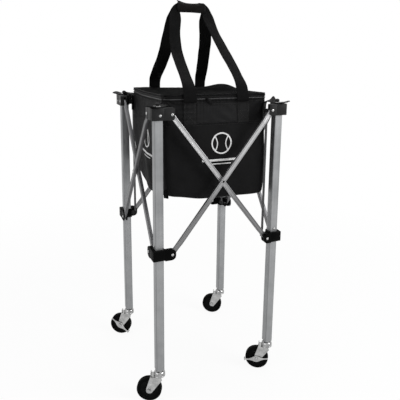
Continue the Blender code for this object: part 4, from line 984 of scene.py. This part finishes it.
def sector_pieces(name, outer, level, wall, material, body, node, facing_up):
    """Cut a shell of two skins into its sectors. Each closes along its edges and at the axis, and rides the body. The
    outer skin is given from its rim to its middle. Its cloth coordinates, in metres, are the length round its upper
    half and the length down it, and plain x and y in its level rows."""
    normals = grid_normals(outer, ring=True) * (1 if facing_up else -1)
    inner = outer - normals * wall
    rows, total = outer.shape[:2]
    middle = outer[:rows // 2].mean(axis=0)
    down = np.linalg.norm(np.diff(outer, axis=0), axis=2).mean(axis=1)
    uv = spread(run_along(np.vstack([middle, middle[:1]])), np.concatenate([[0.0], np.cumsum(down)])[:, None])
    uv[level] = outer[level][:, np.arange(total + 1) % total, :2]
    pole_normal = unit(normals[-1].mean(axis=0))
    for sector in range(SECTORS):
        columns = np.arange(SECTOR_ENDS[sector], SECTOR_ENDS[sector + 1] + 1)
        pick = columns % total
        count = len(pick)
        block, base = rows * count, (rows - 1) * count + np.arange(count - 1)
        points, faces = slab(outer[:, pick], inner[:, pick], open_foot=True)
        points = np.vstack([points, outer[-1].mean(axis=0), inner[-1].mean(axis=0)])
        fan = np.stack([base, base + 1, np.full(count - 1, 2 * block)], axis=1)
        fan_in = np.stack([block + base + 1, block + base, np.full(count - 1, 2 * block + 1)], axis=1)
        first, last = base[0], base[-1] + 1
        cap = [[first, 2 * block, 2 * block + 1, block + first], [last, block + last, 2 * block + 1, 2 * block]]
        faces = faces.tolist() + fan.tolist() + fan_in.tolist() + cap
        if not facing_up:
            faces = [face[::-1] for face in faces]
        skin = normals[:, pick].reshape(-1, 3)
        cloth = uv[:, columns].reshape(-1, 2)
        soft_piece(f"{name}_{sector:02d}", points, faces, material, body,
                   np.vstack([cloth, cloth, cloth[-1:], cloth[-1:]]), node, sector,
                   np.vstack([skin, -skin, pole_normal, -pole_normal]))


def side_angle(side, across):
    """Direction of a place across a side, in metres and left to right seen from outside: the side's middle turned by
    the arc tangent of the place over the bag's half width."""
    return math.radians(SIDE_MIDDLE[side]) + np.arctan(np.asarray(across) / BAG_HALF)


def side_normal(side):
    """Outward direction of a side."""
    middle = math.radians(SIDE_MIDDLE[side])
    return np.array([math.cos(middle), math.sin(middle), 0.0])


def laid(name, side, left, right, low, high, thickness, material, puff=0.0, wrinkle=None):
    """Patch laid on one side of the bag, its thickness easing off at its four edges by a square root. It is cut where
    the sectors meet. wrinkle adds height at (across, height)."""
    cuts = BAG_HALF * np.tan(np.radians(np.arange(-30, 31, 15)))
    ends = [left, *cuts[(cuts > left + 0.004) & (cuts < right - 0.004)], right]
    b = np.linspace(-1, 1, 64)
    b = np.sign(b) * (1 - (1 - np.abs(b)) ** 1.6)
    height = ((high + low) / 2 - b * (high - low) / 2)[:, None]
    for index, (start, stop) in enumerate(zip(ends, ends[1:])):
        a = np.linspace(0, 1, 26)
        if index == 0:
            a = a ** 1.5
        if index == len(ends) - 2:
            a = 1 - (1 - a) ** 1.5
        across = start + (stop - start) * a
        edge = np.minimum(np.minimum(across - left, right - across), np.minimum(height - low, high - height))
        edge = np.maximum(edge, 0)
        lift = thickness * np.sqrt(np.clip(edge / (thickness * 1.2), 0, 1)) + puff * eased(edge, 0, 0.02)
        if wrinkle:
            lift = lift + wrinkle(across, height) * eased(edge, 0, 0.01)
        angle = side_angle(side, across)
        points, faces = slab(wall_at(angle, height, lift), wall_at(angle, height, -0.0006))
        uv = spread(across, height).reshape(-1, 2)
        sector = int(sector_of(side_angle(side, (start + stop) / 2)))
        soft_piece(f"{name}_{index}", points, faces[:, ::-1], material, "bag", np.vstack([uv, uv]),
                   sector=sector)


def oval(width, height, count=12):
    """Closed oval outline as (out, up), outwards first."""
    turn = whole_turn(count)
    return np.cos(turn) * width / 2, np.sin(turn) * height / 2


def ring_trim(name, lines, material, body, sectors=range(SECTORS), count=40, teeth=0.0):
    """Trim carried round the bag along one or more lines, each with its outline across it, square to the line. It is
    cut at the sectors. Where teeth is set, the outline swells and shrinks by it every 3 mm, as a zip's coil does."""
    for sector in sectors:
        angle = sector_line(sector, count)
        points, faces, uv, start = [], [], [], 0
        for line, (out, up) in lines:
            base = line(angle)
            ahead = unit(np.gradient(base, axis=0))
            outward = unit(np.cross(ahead, UP))
            upward = np.cross(outward, ahead)
            run = (run_along(base) + sector * 0.06)[:, None]
            swell = 1.0 + teeth * np.cos(run * 2 * math.pi / 0.0030)
            rings = (base[:, None] + (out * swell)[..., None] * outward[:, None]
                     + (up * swell)[..., None] * upward[:, None])
            faces += [[start + corner for corner in face[::-1]] for face in carried(rings)]
            points.append(rings.reshape(-1, 3))
            uv.append(spread(run, run_along(spread(out, up))).reshape(-1, 2))
            start += len(points[-1])
        soft_piece(f"{name}_{sector:02d}", np.vstack(points), faces, material, body, np.vstack(uv),
                   sector=sector)


STITCHES = {"bag": [], "lid": []}
STITCH_PITCH = 0.0040


def stitch_row(body, path, outward):
    """Mark a row of stitches along a path, one every 4 mm, all facing one outward direction."""
    run = run_along(path)
    at = np.arange(STITCH_PITCH / 2, run[-1], STITCH_PITCH)
    fields = (path, unit(np.gradient(path, axis=0)), np.tile(outward, (len(path), 1)))
    place, ahead, out = [np.stack([np.interp(at, run, field[:, k]) for k in range(3)], axis=1) for field in fields]
    STITCHES[body].append(np.stack([place, unit(ahead), unit(out)], axis=1))


def wall_row(side, across, height, lift):
    """Row of stitches on one side of the bag, along places (across, height)."""
    across, height = np.broadcast_arrays(across, height)
    stitch_row("bag", wall_at(side_angle(side, across), height, lift), side_normal(side))


def build_stitches(material):
    """All the marked stitches, sector by sector: one small arched thread of 30 points, set along each row as whole
    arrays from its place, its row's direction and its outward direction."""
    along = np.array([-1.0, -0.72, 0.0, 0.72, 1.0]) * 0.0014
    thick = np.array([0.35, 0.95, 1.0, 0.95, 0.35]) * 0.00038
    arch = np.array([-0.00022, 0.0, 0.00012, 0.0, -0.00022])
    turn = whole_turn(6)
    a = np.repeat(along, 6)
    b = np.outer(thick, np.cos(turn)).ravel()
    c = np.outer(thick, np.sin(turn)).ravel() + np.repeat(arch, 6)
    quads = grid_quads(5, 6, ring=True)
    ends = np.array([range(6)[::-1], range(24, 30)])
    for body, rows in STITCHES.items():
        place, ahead, out = np.concatenate(rows).swapaxes(0, 1)
        side = unit(np.cross(out, ahead))
        out = np.cross(ahead, side)
        sector = sector_of(np.arctan2(place[:, 1] - CENTRE[1], place[:, 0] - CENTRE[0]))
        for number in np.unique(sector):
            keep = sector == number
            points = (place[keep][:, None] + a[None, :, None] * ahead[keep][:, None]
                      + b[None, :, None] * side[keep][:, None] + c[None, :, None] * out[keep][:, None])
            starts = (np.arange(len(points)) * 30)[:, None, None]
            faces = (quads + starts).reshape(-1, 4).tolist() + (ends + starts).reshape(-1, 6).tolist()
            soft_piece(f"stitches_{body}_{number:02d}", points, faces, material, body,
                       np.tile(spread(a, c), (len(points), 1)), sector=int(number))


def rounded_section(count, power=5.0):
    """Oval one unit wide and tall: a superellipse, which is nearly flat on its faces and round at its edges."""
    turn = whole_turn(count)
    return [np.sign(wave) * np.abs(wave) ** (2 / power) / 2 for wave in (np.cos(turn), np.sin(turn))]


def swept(path, across, width, thickness, bow=0.0, count=28):
    """Points, faces and cloth coordinates of a flat strap: an oval section carried along a path. At each station the
    section lies on the across direction, and its normal is square to that and to the path."""
    ahead = unit(np.gradient(path, axis=0))
    across = unit(across - ahead * np.sum(across * ahead, axis=1, keepdims=True))
    normal = np.cross(ahead, across)
    a, b = rounded_section(count)
    width, bow = (np.broadcast_to(value, len(path))[:, None] for value in (width, bow))
    side, out = a * width, b * thickness + bow * (1 - 4 * a ** 2)
    points = path[:, None] + side[..., None] * across[:, None] + out[..., None] * normal[:, None]
    return points, carried(points), spread(side, run_along(path)[:, None])


# ---- handles, grip and tabs ----

STRANDS = {
    "left": [(-0.0860, 0.1716, 0.924), (-0.0862, 0.1722, 0.932), (-0.0875, 0.1692, 0.947), (-0.0885, 0.1590, 0.974),
             (-0.0880, 0.1300, 1.000), (-0.0870, 0.0930, 1.030), (-0.0865, 0.0610, 1.060), (-0.0850, 0.0420, 1.090),
             (-0.0820, 0.0280, 1.120), (-0.0775, 0.0175, 1.150), (-0.0735, 0.0090, 1.176), (-0.0690, 0.0040, 1.191),
             (-0.0590, 0.0036, 1.1995), (-0.0450, 0.0036, 1.2020)],
    "right": [(0.0830, 0.1716, 0.924), (0.0830, 0.1722, 0.932), (0.0825, 0.1686, 0.947), (0.0805, 0.1590, 0.974),
              (0.0766, 0.1387, 1.000), (0.0703, 0.1134, 1.030), (0.0626, 0.0871, 1.060), (0.0555, 0.0616, 1.090),
              (0.0470, 0.0400, 1.120), (0.0390, 0.0235, 1.150), (0.0325, 0.0110, 1.176), (0.0280, 0.0040, 1.192),
              (0.0180, 0.0036, 1.2000), (0.0040, 0.0036, 1.2020)]}
STRAP_WIDTH, STRAP_THICKNESS, GRIP_HEIGHT = 0.0395, 0.0021, 1.2000


def build_strand(end, side, material):
    """One strand of webbing, a smooth curve from its sewn band to the grip. Its width lies across the cart, turned a
    little about the upright as it hangs, and it gathers and turns on edge where it enters the grip."""
    toward = -1 if side == "front" else 1
    guides = np.array(STRANDS[end]) * [1, toward, 1]
    path = catmull(guides, 110) + CENTRE
    height = path[:, 2]
    lean = (15.0 if toward < 0 else -24.0) * eased(height, 0.955, 1.01) * (1 - eased(height, 1.13, 1.19))
    lean = np.radians(lean + 4.0 * np.sin(height * 41.0 + toward) * eased(height, 0.95, 0.98))
    across = spread(np.cos(lean), np.sin(lean), 0.0)
    square = unit(np.cross(unit(np.gradient(path, axis=0)), [0.0, 1.0, 0.0]))
    square *= np.sign(np.sum(square * across, axis=1, keepdims=True) + 1e-9)
    upright = eased(height, 1.165, 1.19)[:, None]
    across = unit(across * (1 - upright) + square * upright)
    width = STRAP_WIDTH - 0.0120 * eased(height, 1.160, 1.1935) + 0.0004 * np.sin(height * 150)
    bow = 0.0020 * np.sin(height * 23.0 + 1.1 * toward) * eased(height, 0.95, 1.0)
    points, faces, uv = swept(path, across, width, STRAP_THICKNESS, bow)
    handle = "handle_" + side
    made = soft_piece(f"{handle}_{end}", points, faces, material, handle, uv, handle)
    draw_in(made)


def build_grip(material, inside):
    """Wrap round all four strands: an oval sleeve that sags in its middle and swells at its ends, and an outer flap
    whose free corner stands up at the left."""
    x = np.linspace(-0.0665, 0.0300, 64)
    t = (x - x[0]) / (x[-1] - x[0])
    path = spread(x, 0.0, GRIP_HEIGHT - 0.0012 * np.sin(np.pi * t) + 0.0010 * (1 - t)) + CENTRE
    ends = np.sqrt(np.clip(np.minimum(t, 1 - t) / 0.035, 0.12, 1))
    tall = ends * (0.0262 + 0.0016 * np.cos(t * 2 * np.pi) + 0.0006 * np.sin(t * 19))
    deep = ends * (0.0150 + 0.0012 * np.sin(t * 11 + 0.4) - 0.0010 * np.cos(2 * np.pi * t))
    a, b = rounded_section(44, 2.9)
    normal = np.cross(unit(np.gradient(path, axis=0)), UP)
    points = path[:, None] + spread(0.0, 0.0, a * tall[:, None]) + (b * deep[:, None])[..., None] * normal[:, None]
    points[..., 1] += 0.0004 * np.sin(points[..., 0] * 260 + points[..., 2] * 120)
    soft_piece("grip_sleeve", points, carried(points), inside, "handle_front",
               spread(x[:, None], np.linspace(0, 0.072, 44)), "grip_wrap")
    u = np.linspace(-0.0640, 0.0225, 60)[:, None]
    share = (u - u[0]) / (u[-1] - u[0])
    turn = np.linspace(-1.35, 2.35, 46)
    wide = 0.0088 + 0.0004 * np.sin(share * 12)
    high = 0.0144 + 0.0008 * np.cos(share * 6.3)
    stand = 0.0075 * eased(turn, 0.9, 2.35) * eased(0.35 - share, 0.0, 0.35)
    flap = spread(CENTRE[0] + u, CENTRE[1] - np.cos(turn) * wide,
                  np.sin(turn) * high + stand + GRIP_HEIGHT - 0.0012 * np.sin(np.pi * share))
    normals = grid_normals(flap)
    points, faces = slab(flap + normals * 0.0009, flap - normals * 0.0003)
    cloth = spread(u, turn * 0.012).reshape(-1, 2)
    soft_piece("grip_flap", points, faces, material, "handle_front", np.vstack([cloth, cloth]),
               "grip_wrap")


STUDS = {"front_left": (-1, -1), "front_right": (1, -1), "rear_right": (1, 1), "rear_left": (-1, 1)}
TAB_HEIGHT, TAB_WIDTH, TAB_KEEP = 0.9184, 0.0360, 0.393
FLAT_TAB = [(-0.0400, -0.058), (-0.0402, -0.040), (-0.0400, -0.022), (-0.0380, -0.0075), (-0.0320, 0.0012),
            (-0.0230, 0.0018), (-0.0120, 0.0), (0.0, 0.0), (0.0140, 0.0003), (0.0250, 0.0016), (0.0355, 0.0024)]
FOLDED_TAB = [(-0.0400, -0.050), (-0.0402, -0.034), (-0.0400, -0.018), (-0.0390, -0.0060), (-0.0350, 0.0020),
              (-0.0280, 0.0036), (-0.0200, 0.0030), (-0.0110, 0.0008), (0.0, 0.0), (0.0120, 0.0004),
              (0.0240, 0.0020), (0.0355, 0.0044)]
TAB_FLARE = {"front_right": 0.0150, "rear_left": 0.0070}
EYELET_RING = [(0.0072, -0.0014), (0.0073, 0.0012), (0.0080, 0.0024), (0.0092, 0.0026), (0.0106, 0.0021),
               (0.0113, 0.0013), (0.0106, -0.0013), (0.0088, -0.0020), (0.0072, -0.0014)]


def build_tab(corner, material, ring_material):
    """Corner tab: webbing sewn down the bag's corner, brought out over the stud to a free wing, and its pressed
    eyelet. At two corners the slack stands up in a fold before the stud."""
    sx, sy = STUDS[corner]
    outward, across = np.array([[sx, sy, 0.0], [-sy, sx, 0.0]]) / math.sqrt(2)
    stud = CENTRE + [sx * HALF_SPACING, sy * HALF_SPACING, 0.0]
    line = catmull(FOLDED_TAB if corner in TAB_FLARE else FLAT_TAB, 110)
    out, up = line[:, :1], line[:, 1:]
    path = stud + out * outward + UP * (TAB_HEIGHT + up)
    width = TAB_WIDTH - 0.0030 * eased(line[:, 0], 0.031, 0.036)
    bow = 0.0022 * eased(line[:, 0], 0.012, 0.034)
    skew = across + 0.10 * outward * eased(out, 0.012, 0.03)
    points, faces, uv = swept(path, skew, width, 0.0030, bow, 36)
    beside = uv[..., 0] / TAB_WIDTH + 0.5
    flare = TAB_FLARE.get(corner, 0.0) * np.exp(-((points - stud) @ outward + 0.0165) ** 2 / 0.0085 ** 2)
    level = eased(points[..., 2], TAB_HEIGHT - 0.006, TAB_HEIGHT)
    points[..., 2] += flare * level * np.clip(beside if sx * sy < 0 else 1 - beside, 0, 1) ** 1.3
    radius, height = catmull(EYELET_RING, 26)[:-1].T
    turn = whole_turn(48)[:, None]
    eyelet = stud + spread(radius * np.cos(turn), radius * np.sin(turn), TAB_HEIGHT + height)
    tab = soft_piece("tab_" + corner, points, faces, material, "bag", uv, "corner_tab_" + corner)
    ring = soft_piece("eyelet_" + corner, eyelet, looped(eyelet)[:, ::-1], ring_material, "bag")
    for made in (tab, ring):
        draw_in(made)
    sewn = line[:, 1] < -0.012
    for edge in (-0.0150, 0.0150):
        stitch_row("bag", path[sewn] + 0.0014 * outward + edge * across, outward)


TAPE_HEIGHT, COIL_HEIGHT, SEAM_HEIGHT, PIPING_HEIGHT = 0.9215, 0.9262, 0.8572, 0.6460
SEAM_ROWS, TAPE_ROW = ((0.8598, 0.0008), (0.8545, 0.0008)), (0.9172, 0.0009)


def build_trim(cloth, tape, coil, piping):
    """Trim round the bag: a zip tape with its coil under the lid's edge on three sides, a bound edge on the lid, a
    seam ridge at the panel's foot and piping round the floor."""
    def wall_line(height, lift):
        """Line round the bag's wall at one height."""
        return lambda angle: wall_at(angle, height, lift)

    def lid_line(half, above):
        """Line round the lid at one half width and height over its lower edge."""
        return lambda angle: lid_point(angle, half, above)

    zipped = [sector for sector in range(SECTORS) if not 12 <= sector < 18]
    ring_trim("zip_tape", [(wall_line(TAPE_HEIGHT, 0.0002), oval(0.0008, 0.0120, 16))], tape, "bag", zipped)
    ring_trim("zip_coil", [(wall_line(COIL_HEIGHT, 0.0008), oval(0.0030, 0.0034, 10))], coil, "bag", zipped, 150,
              0.13)
    ring_trim("lid_binding", [(lid_line(0.1652, 0.0012), oval(0.0022, 0.0036)),
                              (lid_line(0.1646, 0.0078), oval(0.0026, 0.0022, 10))], piping, "lid")
    ring_trim("panel_seam", [(wall_line(SEAM_HEIGHT, 0.0002), oval(0.0016, 0.0030, 10))], cloth, "bag")
    foot = [(lambda angle: wall_point(angle, 0.1545, PIPING_HEIGHT, 0.0004), oval(0.0036, 0.0034))]
    ring_trim("floor_piping", foot, piping, "bag")
    across = np.linspace(-0.158, 0.158, 160)
    for side in SIDES:
        for height, lift in SEAM_ROWS if side == "rear" else (*SEAM_ROWS, TAPE_ROW):
            wall_row(side, across, height, lift)
        path = lid_point(side_angle(side, across), 0.1654, 0.0050) + 0.0003 * side_normal(side)
        stitch_row("lid", path, side_normal(side))


BAND_MIDDLES = {"front": (("left", -0.085), ("right", 0.084)), "rear": (("left", 0.085), ("right", -0.084))}


def build_bands(material):
    """Handle bands on the front and rear walls, each with rows of stitches down its edges and a crossed box."""
    low, high, half = 0.8560, 0.9302, 0.0200
    lift, foot, box_low, box_high = 0.0026, 0.8582, 0.8606, 0.8905
    tall = np.linspace(0.8585, 0.9290, 60)
    for side, middles in BAND_MIDDLES.items():
        for label, at in middles:
            laid(f"band_{side}_{label}", side, at - half, at + half, low, high, 0.0023, material)
            for inset in (-0.0172, -0.0148, 0.0148, 0.0172):
                wall_row(side, at + inset, tall, lift)
            wide = np.linspace(at - 0.0168, at + 0.0168, 30)
            for start, stop in ((foot, foot), (box_low, box_low), (box_high, box_high), (box_low, box_high),
                                (box_high, box_low)):
                wall_row(side, wide, np.linspace(start, stop, 30), lift)


def build_pocket(material):
    """Flat pocket between the front bands, with slanting creases where it hangs slack, and its hem."""
    def slack(across, height):
        """Two trains of slanting sine waves, each fading off by a bell curve about a place across the pocket."""
        return (0.0010 * np.sin((across + 1.3 * height) * 120) * np.exp(-((across - 0.03) / 0.035) ** 2)
                + 0.0007 * np.sin((across - 0.8 * height) * 150 + 1.0) * np.exp(-((across + 0.03) / 0.03) ** 2))
    left, right = -0.0645, 0.0635
    laid("front_pocket", "front", left, right, 0.8600, 0.9130, 0.0012, material, 0.0012, slack)
    laid("pocket_hem", "front", left, right, 0.9060, 0.9140, 0.0024, material)
    wall_row("front", np.linspace(-0.062, 0.061, 60), 0.9072, 0.0027)


def printed(name, side, across, height, width, material):
    """Printed line on one side of the bag: a thin slab carried along a path of (across, height), of one width, that
    follows the wall. It is cut where the sectors meet."""
    path = spread(across, height)
    ahead = unit(np.gradient(path, axis=0))
    beside = np.stack([-ahead[:, 1], ahead[:, 0]], axis=1)
    grid = path[:, None] + np.linspace(-0.5, 0.5, 5)[None, :, None] * width * beside[:, None]
    sector = sector_of(side_angle(side, path[:, 0]))
    breaks = [0, *(np.nonzero(np.diff(sector))[0] + 1), len(path) - 1]
    for index, (start, stop) in enumerate(zip(breaks, breaks[1:])):
        if stop == start:
            continue
        part = grid[start:stop + 1]
        angle = side_angle(side, part[..., 0])
        top = wall_at(angle, part[..., 1], 0.00045)
        points, faces = slab(top, wall_at(angle, part[..., 1], -0.0002))
        if np.dot(np.cross(top[1, 0] - top[0, 0], top[0, 1] - top[0, 0]), side_normal(side)) > 0:
            faces = faces[:, ::-1]
        uv = part.reshape(-1, 2)
        soft_piece(f"{name}_{index}", points, faces, material, "bag", np.vstack([uv, uv]),
                   sector=int(sector[start]))


def build_print(material):
    """Plain generic design on the front and left walls: a ball drawn as a ring with two seam arcs, and under it a
    long bar over a short one."""
    turn = np.linspace(0, 2 * math.pi, 90)
    bend = np.linspace(-0.98, 0.98, 40)
    bulge = 0.0290 * 0.98 * np.cos(np.arcsin(0.62 * bend)) - 0.0390 * (np.cos(bend * 0.9) - 0.62)
    high, radius = 0.800, 0.0300
    for side, middle in (("front", 0.012), ("left", 0.0)):
        printed("printed_ring_" + side, side, middle + radius * np.cos(turn), high + radius * np.sin(turn), 0.0042,
                material)
        for number, sign in enumerate((-1, 1)):
            printed(f"printed_seam_{side}_{number}", side, middle + sign * bulge, high + 0.0290 * bend * 0.86, 0.0030,
                    material)
        for label, half, count, below, width in (("bar", 0.062, 60, 0.0500, 0.0065),
                                                 ("line", 0.030, 40, 0.0610, 0.0030)):
            printed(f"printed_{label}_{side}", side, np.linspace(middle - half, middle + half, count), high - below,
                    width, material)


def build_zip_slider(material, cord):
    """Zip slider: a body whose section grows by the root of a sine and widens to its nose by a cosine, a bail over it,
    and a slack cord loop that hangs to the right."""
    low, high = box_of("zip_slider")
    middle = np.array([(low[0] + high[0]) / 2, low[1] + 0.0046, COIL_HEIGHT + 0.0006 + 0.95 * FRONT_LIFT])
    t, s = np.linspace(0, math.pi, 14)[:, None], whole_turn(24)
    round_out = np.sin(t) ** 0.5
    body = middle + spread(-0.0058 * np.cos(t), 0.0027 * round_out * np.sin(s),
                           0.0044 * (1.0 + 0.18 * np.cos(t)) * round_out * np.cos(s))
    bail = catmull([(-0.0042, -0.0010, 0.0), (-0.0036, -0.0036, 0.0), (0.0, -0.0050, 0.0), (0.0036, -0.0036, 0.0),
                    (0.0042, -0.0010, 0.0)], 30) + middle
    loop = catmull([(0.0005, -0.0048, 0.0004), (0.0035, -0.0062, -0.0012), (0.0075, -0.0060, -0.0040),
                    (0.0118, -0.0048, -0.0090), (0.0150, -0.0042, -0.0148), (0.0140, -0.0042, -0.0182),
                    (0.0110, -0.0044, -0.0175), (0.0082, -0.0052, -0.0120), (0.0048, -0.0068, -0.0060),
                    (0.0020, -0.0064, -0.0020), (0.0000, -0.0048, -0.0004)], 90) + middle
    for name, form, finish in (("zip_body", (body, grid_quads(14, 24, ring=True), None), material),
                               ("zip_bail", swept(bail, UP, 0.0030, 0.0011, count=14), material),
                               ("zip_cord_loop", swept(loop, [0, 1.0, 0.2], 0.0026, 0.0022, count=14), cord)):
        points, faces, uv = form
        soft_piece(name, points, faces, finish, "zip", uv, "zip_slider")


def build_floor_tab(material):
    """Small tab of webbing sewn under the bag's front left corner: a strip folded once at its foot, hanging a little
    askew."""
    line = catmull([(0.0, -0.0016, 0.014), (0.0, -0.0022, 0.004), (0.0, -0.0022, -0.006), (0.0, 0.0, -0.0100),
                    (0.0, 0.0022, -0.006), (0.0, 0.0022, 0.004), (0.0, 0.0016, 0.014)], 50)
    corner = wall_point(np.array([math.radians(FIRST_TURN + 1.8)]), 0.160, 0.645)
    points, faces, uv = swept(line + corner + [-0.0125, 0.0040, -0.0074], [1.0, 0.1, -0.4], 0.0140, 0.0014, count=20)
    soft_piece("floor_loop", points, faces, material, "bag", uv, sector=0)


angles = TURN[None, :]
sector_pieces("bag_wall", wall_point(angles, PROFILE[:, :1], PROFILE[:, 1:]), PROFILE[:, 0] < 0.128, BAG_WALL, CLOTH,
              "bag", "bag_shell", False)
sector_pieces("lid_cloth_painted_shade", lid_point(angles, LID_PROFILE[:, :1], LID_PROFILE[:, 1:]), LID_PROFILE[:, 0] < 0.160,
              LID_WALL, SHADED_LID_CLOTH, "lid", "bag_lid", True)
build_trim(CLOTH, TAPE, COIL, PIPING)
build_bands(WEBBING)
build_pocket(POCKET)
build_print(PRINT)
build_floor_tab(SHADED_STRAP)
build_zip_slider(CORE, WEBBING)
for end in ("left", "right"):
    for side in ("front", "rear"):
        build_strand(end, side, SHADED_STRAP)
build_grip(HOOK_TAPE, WEBBING)
for corner in CORNERS:
    build_tab(corner, WEBBING, EYELET)
    build_lift_cord(corner, LIFT_CORD, NYLON)
build_stitches(THREAD)
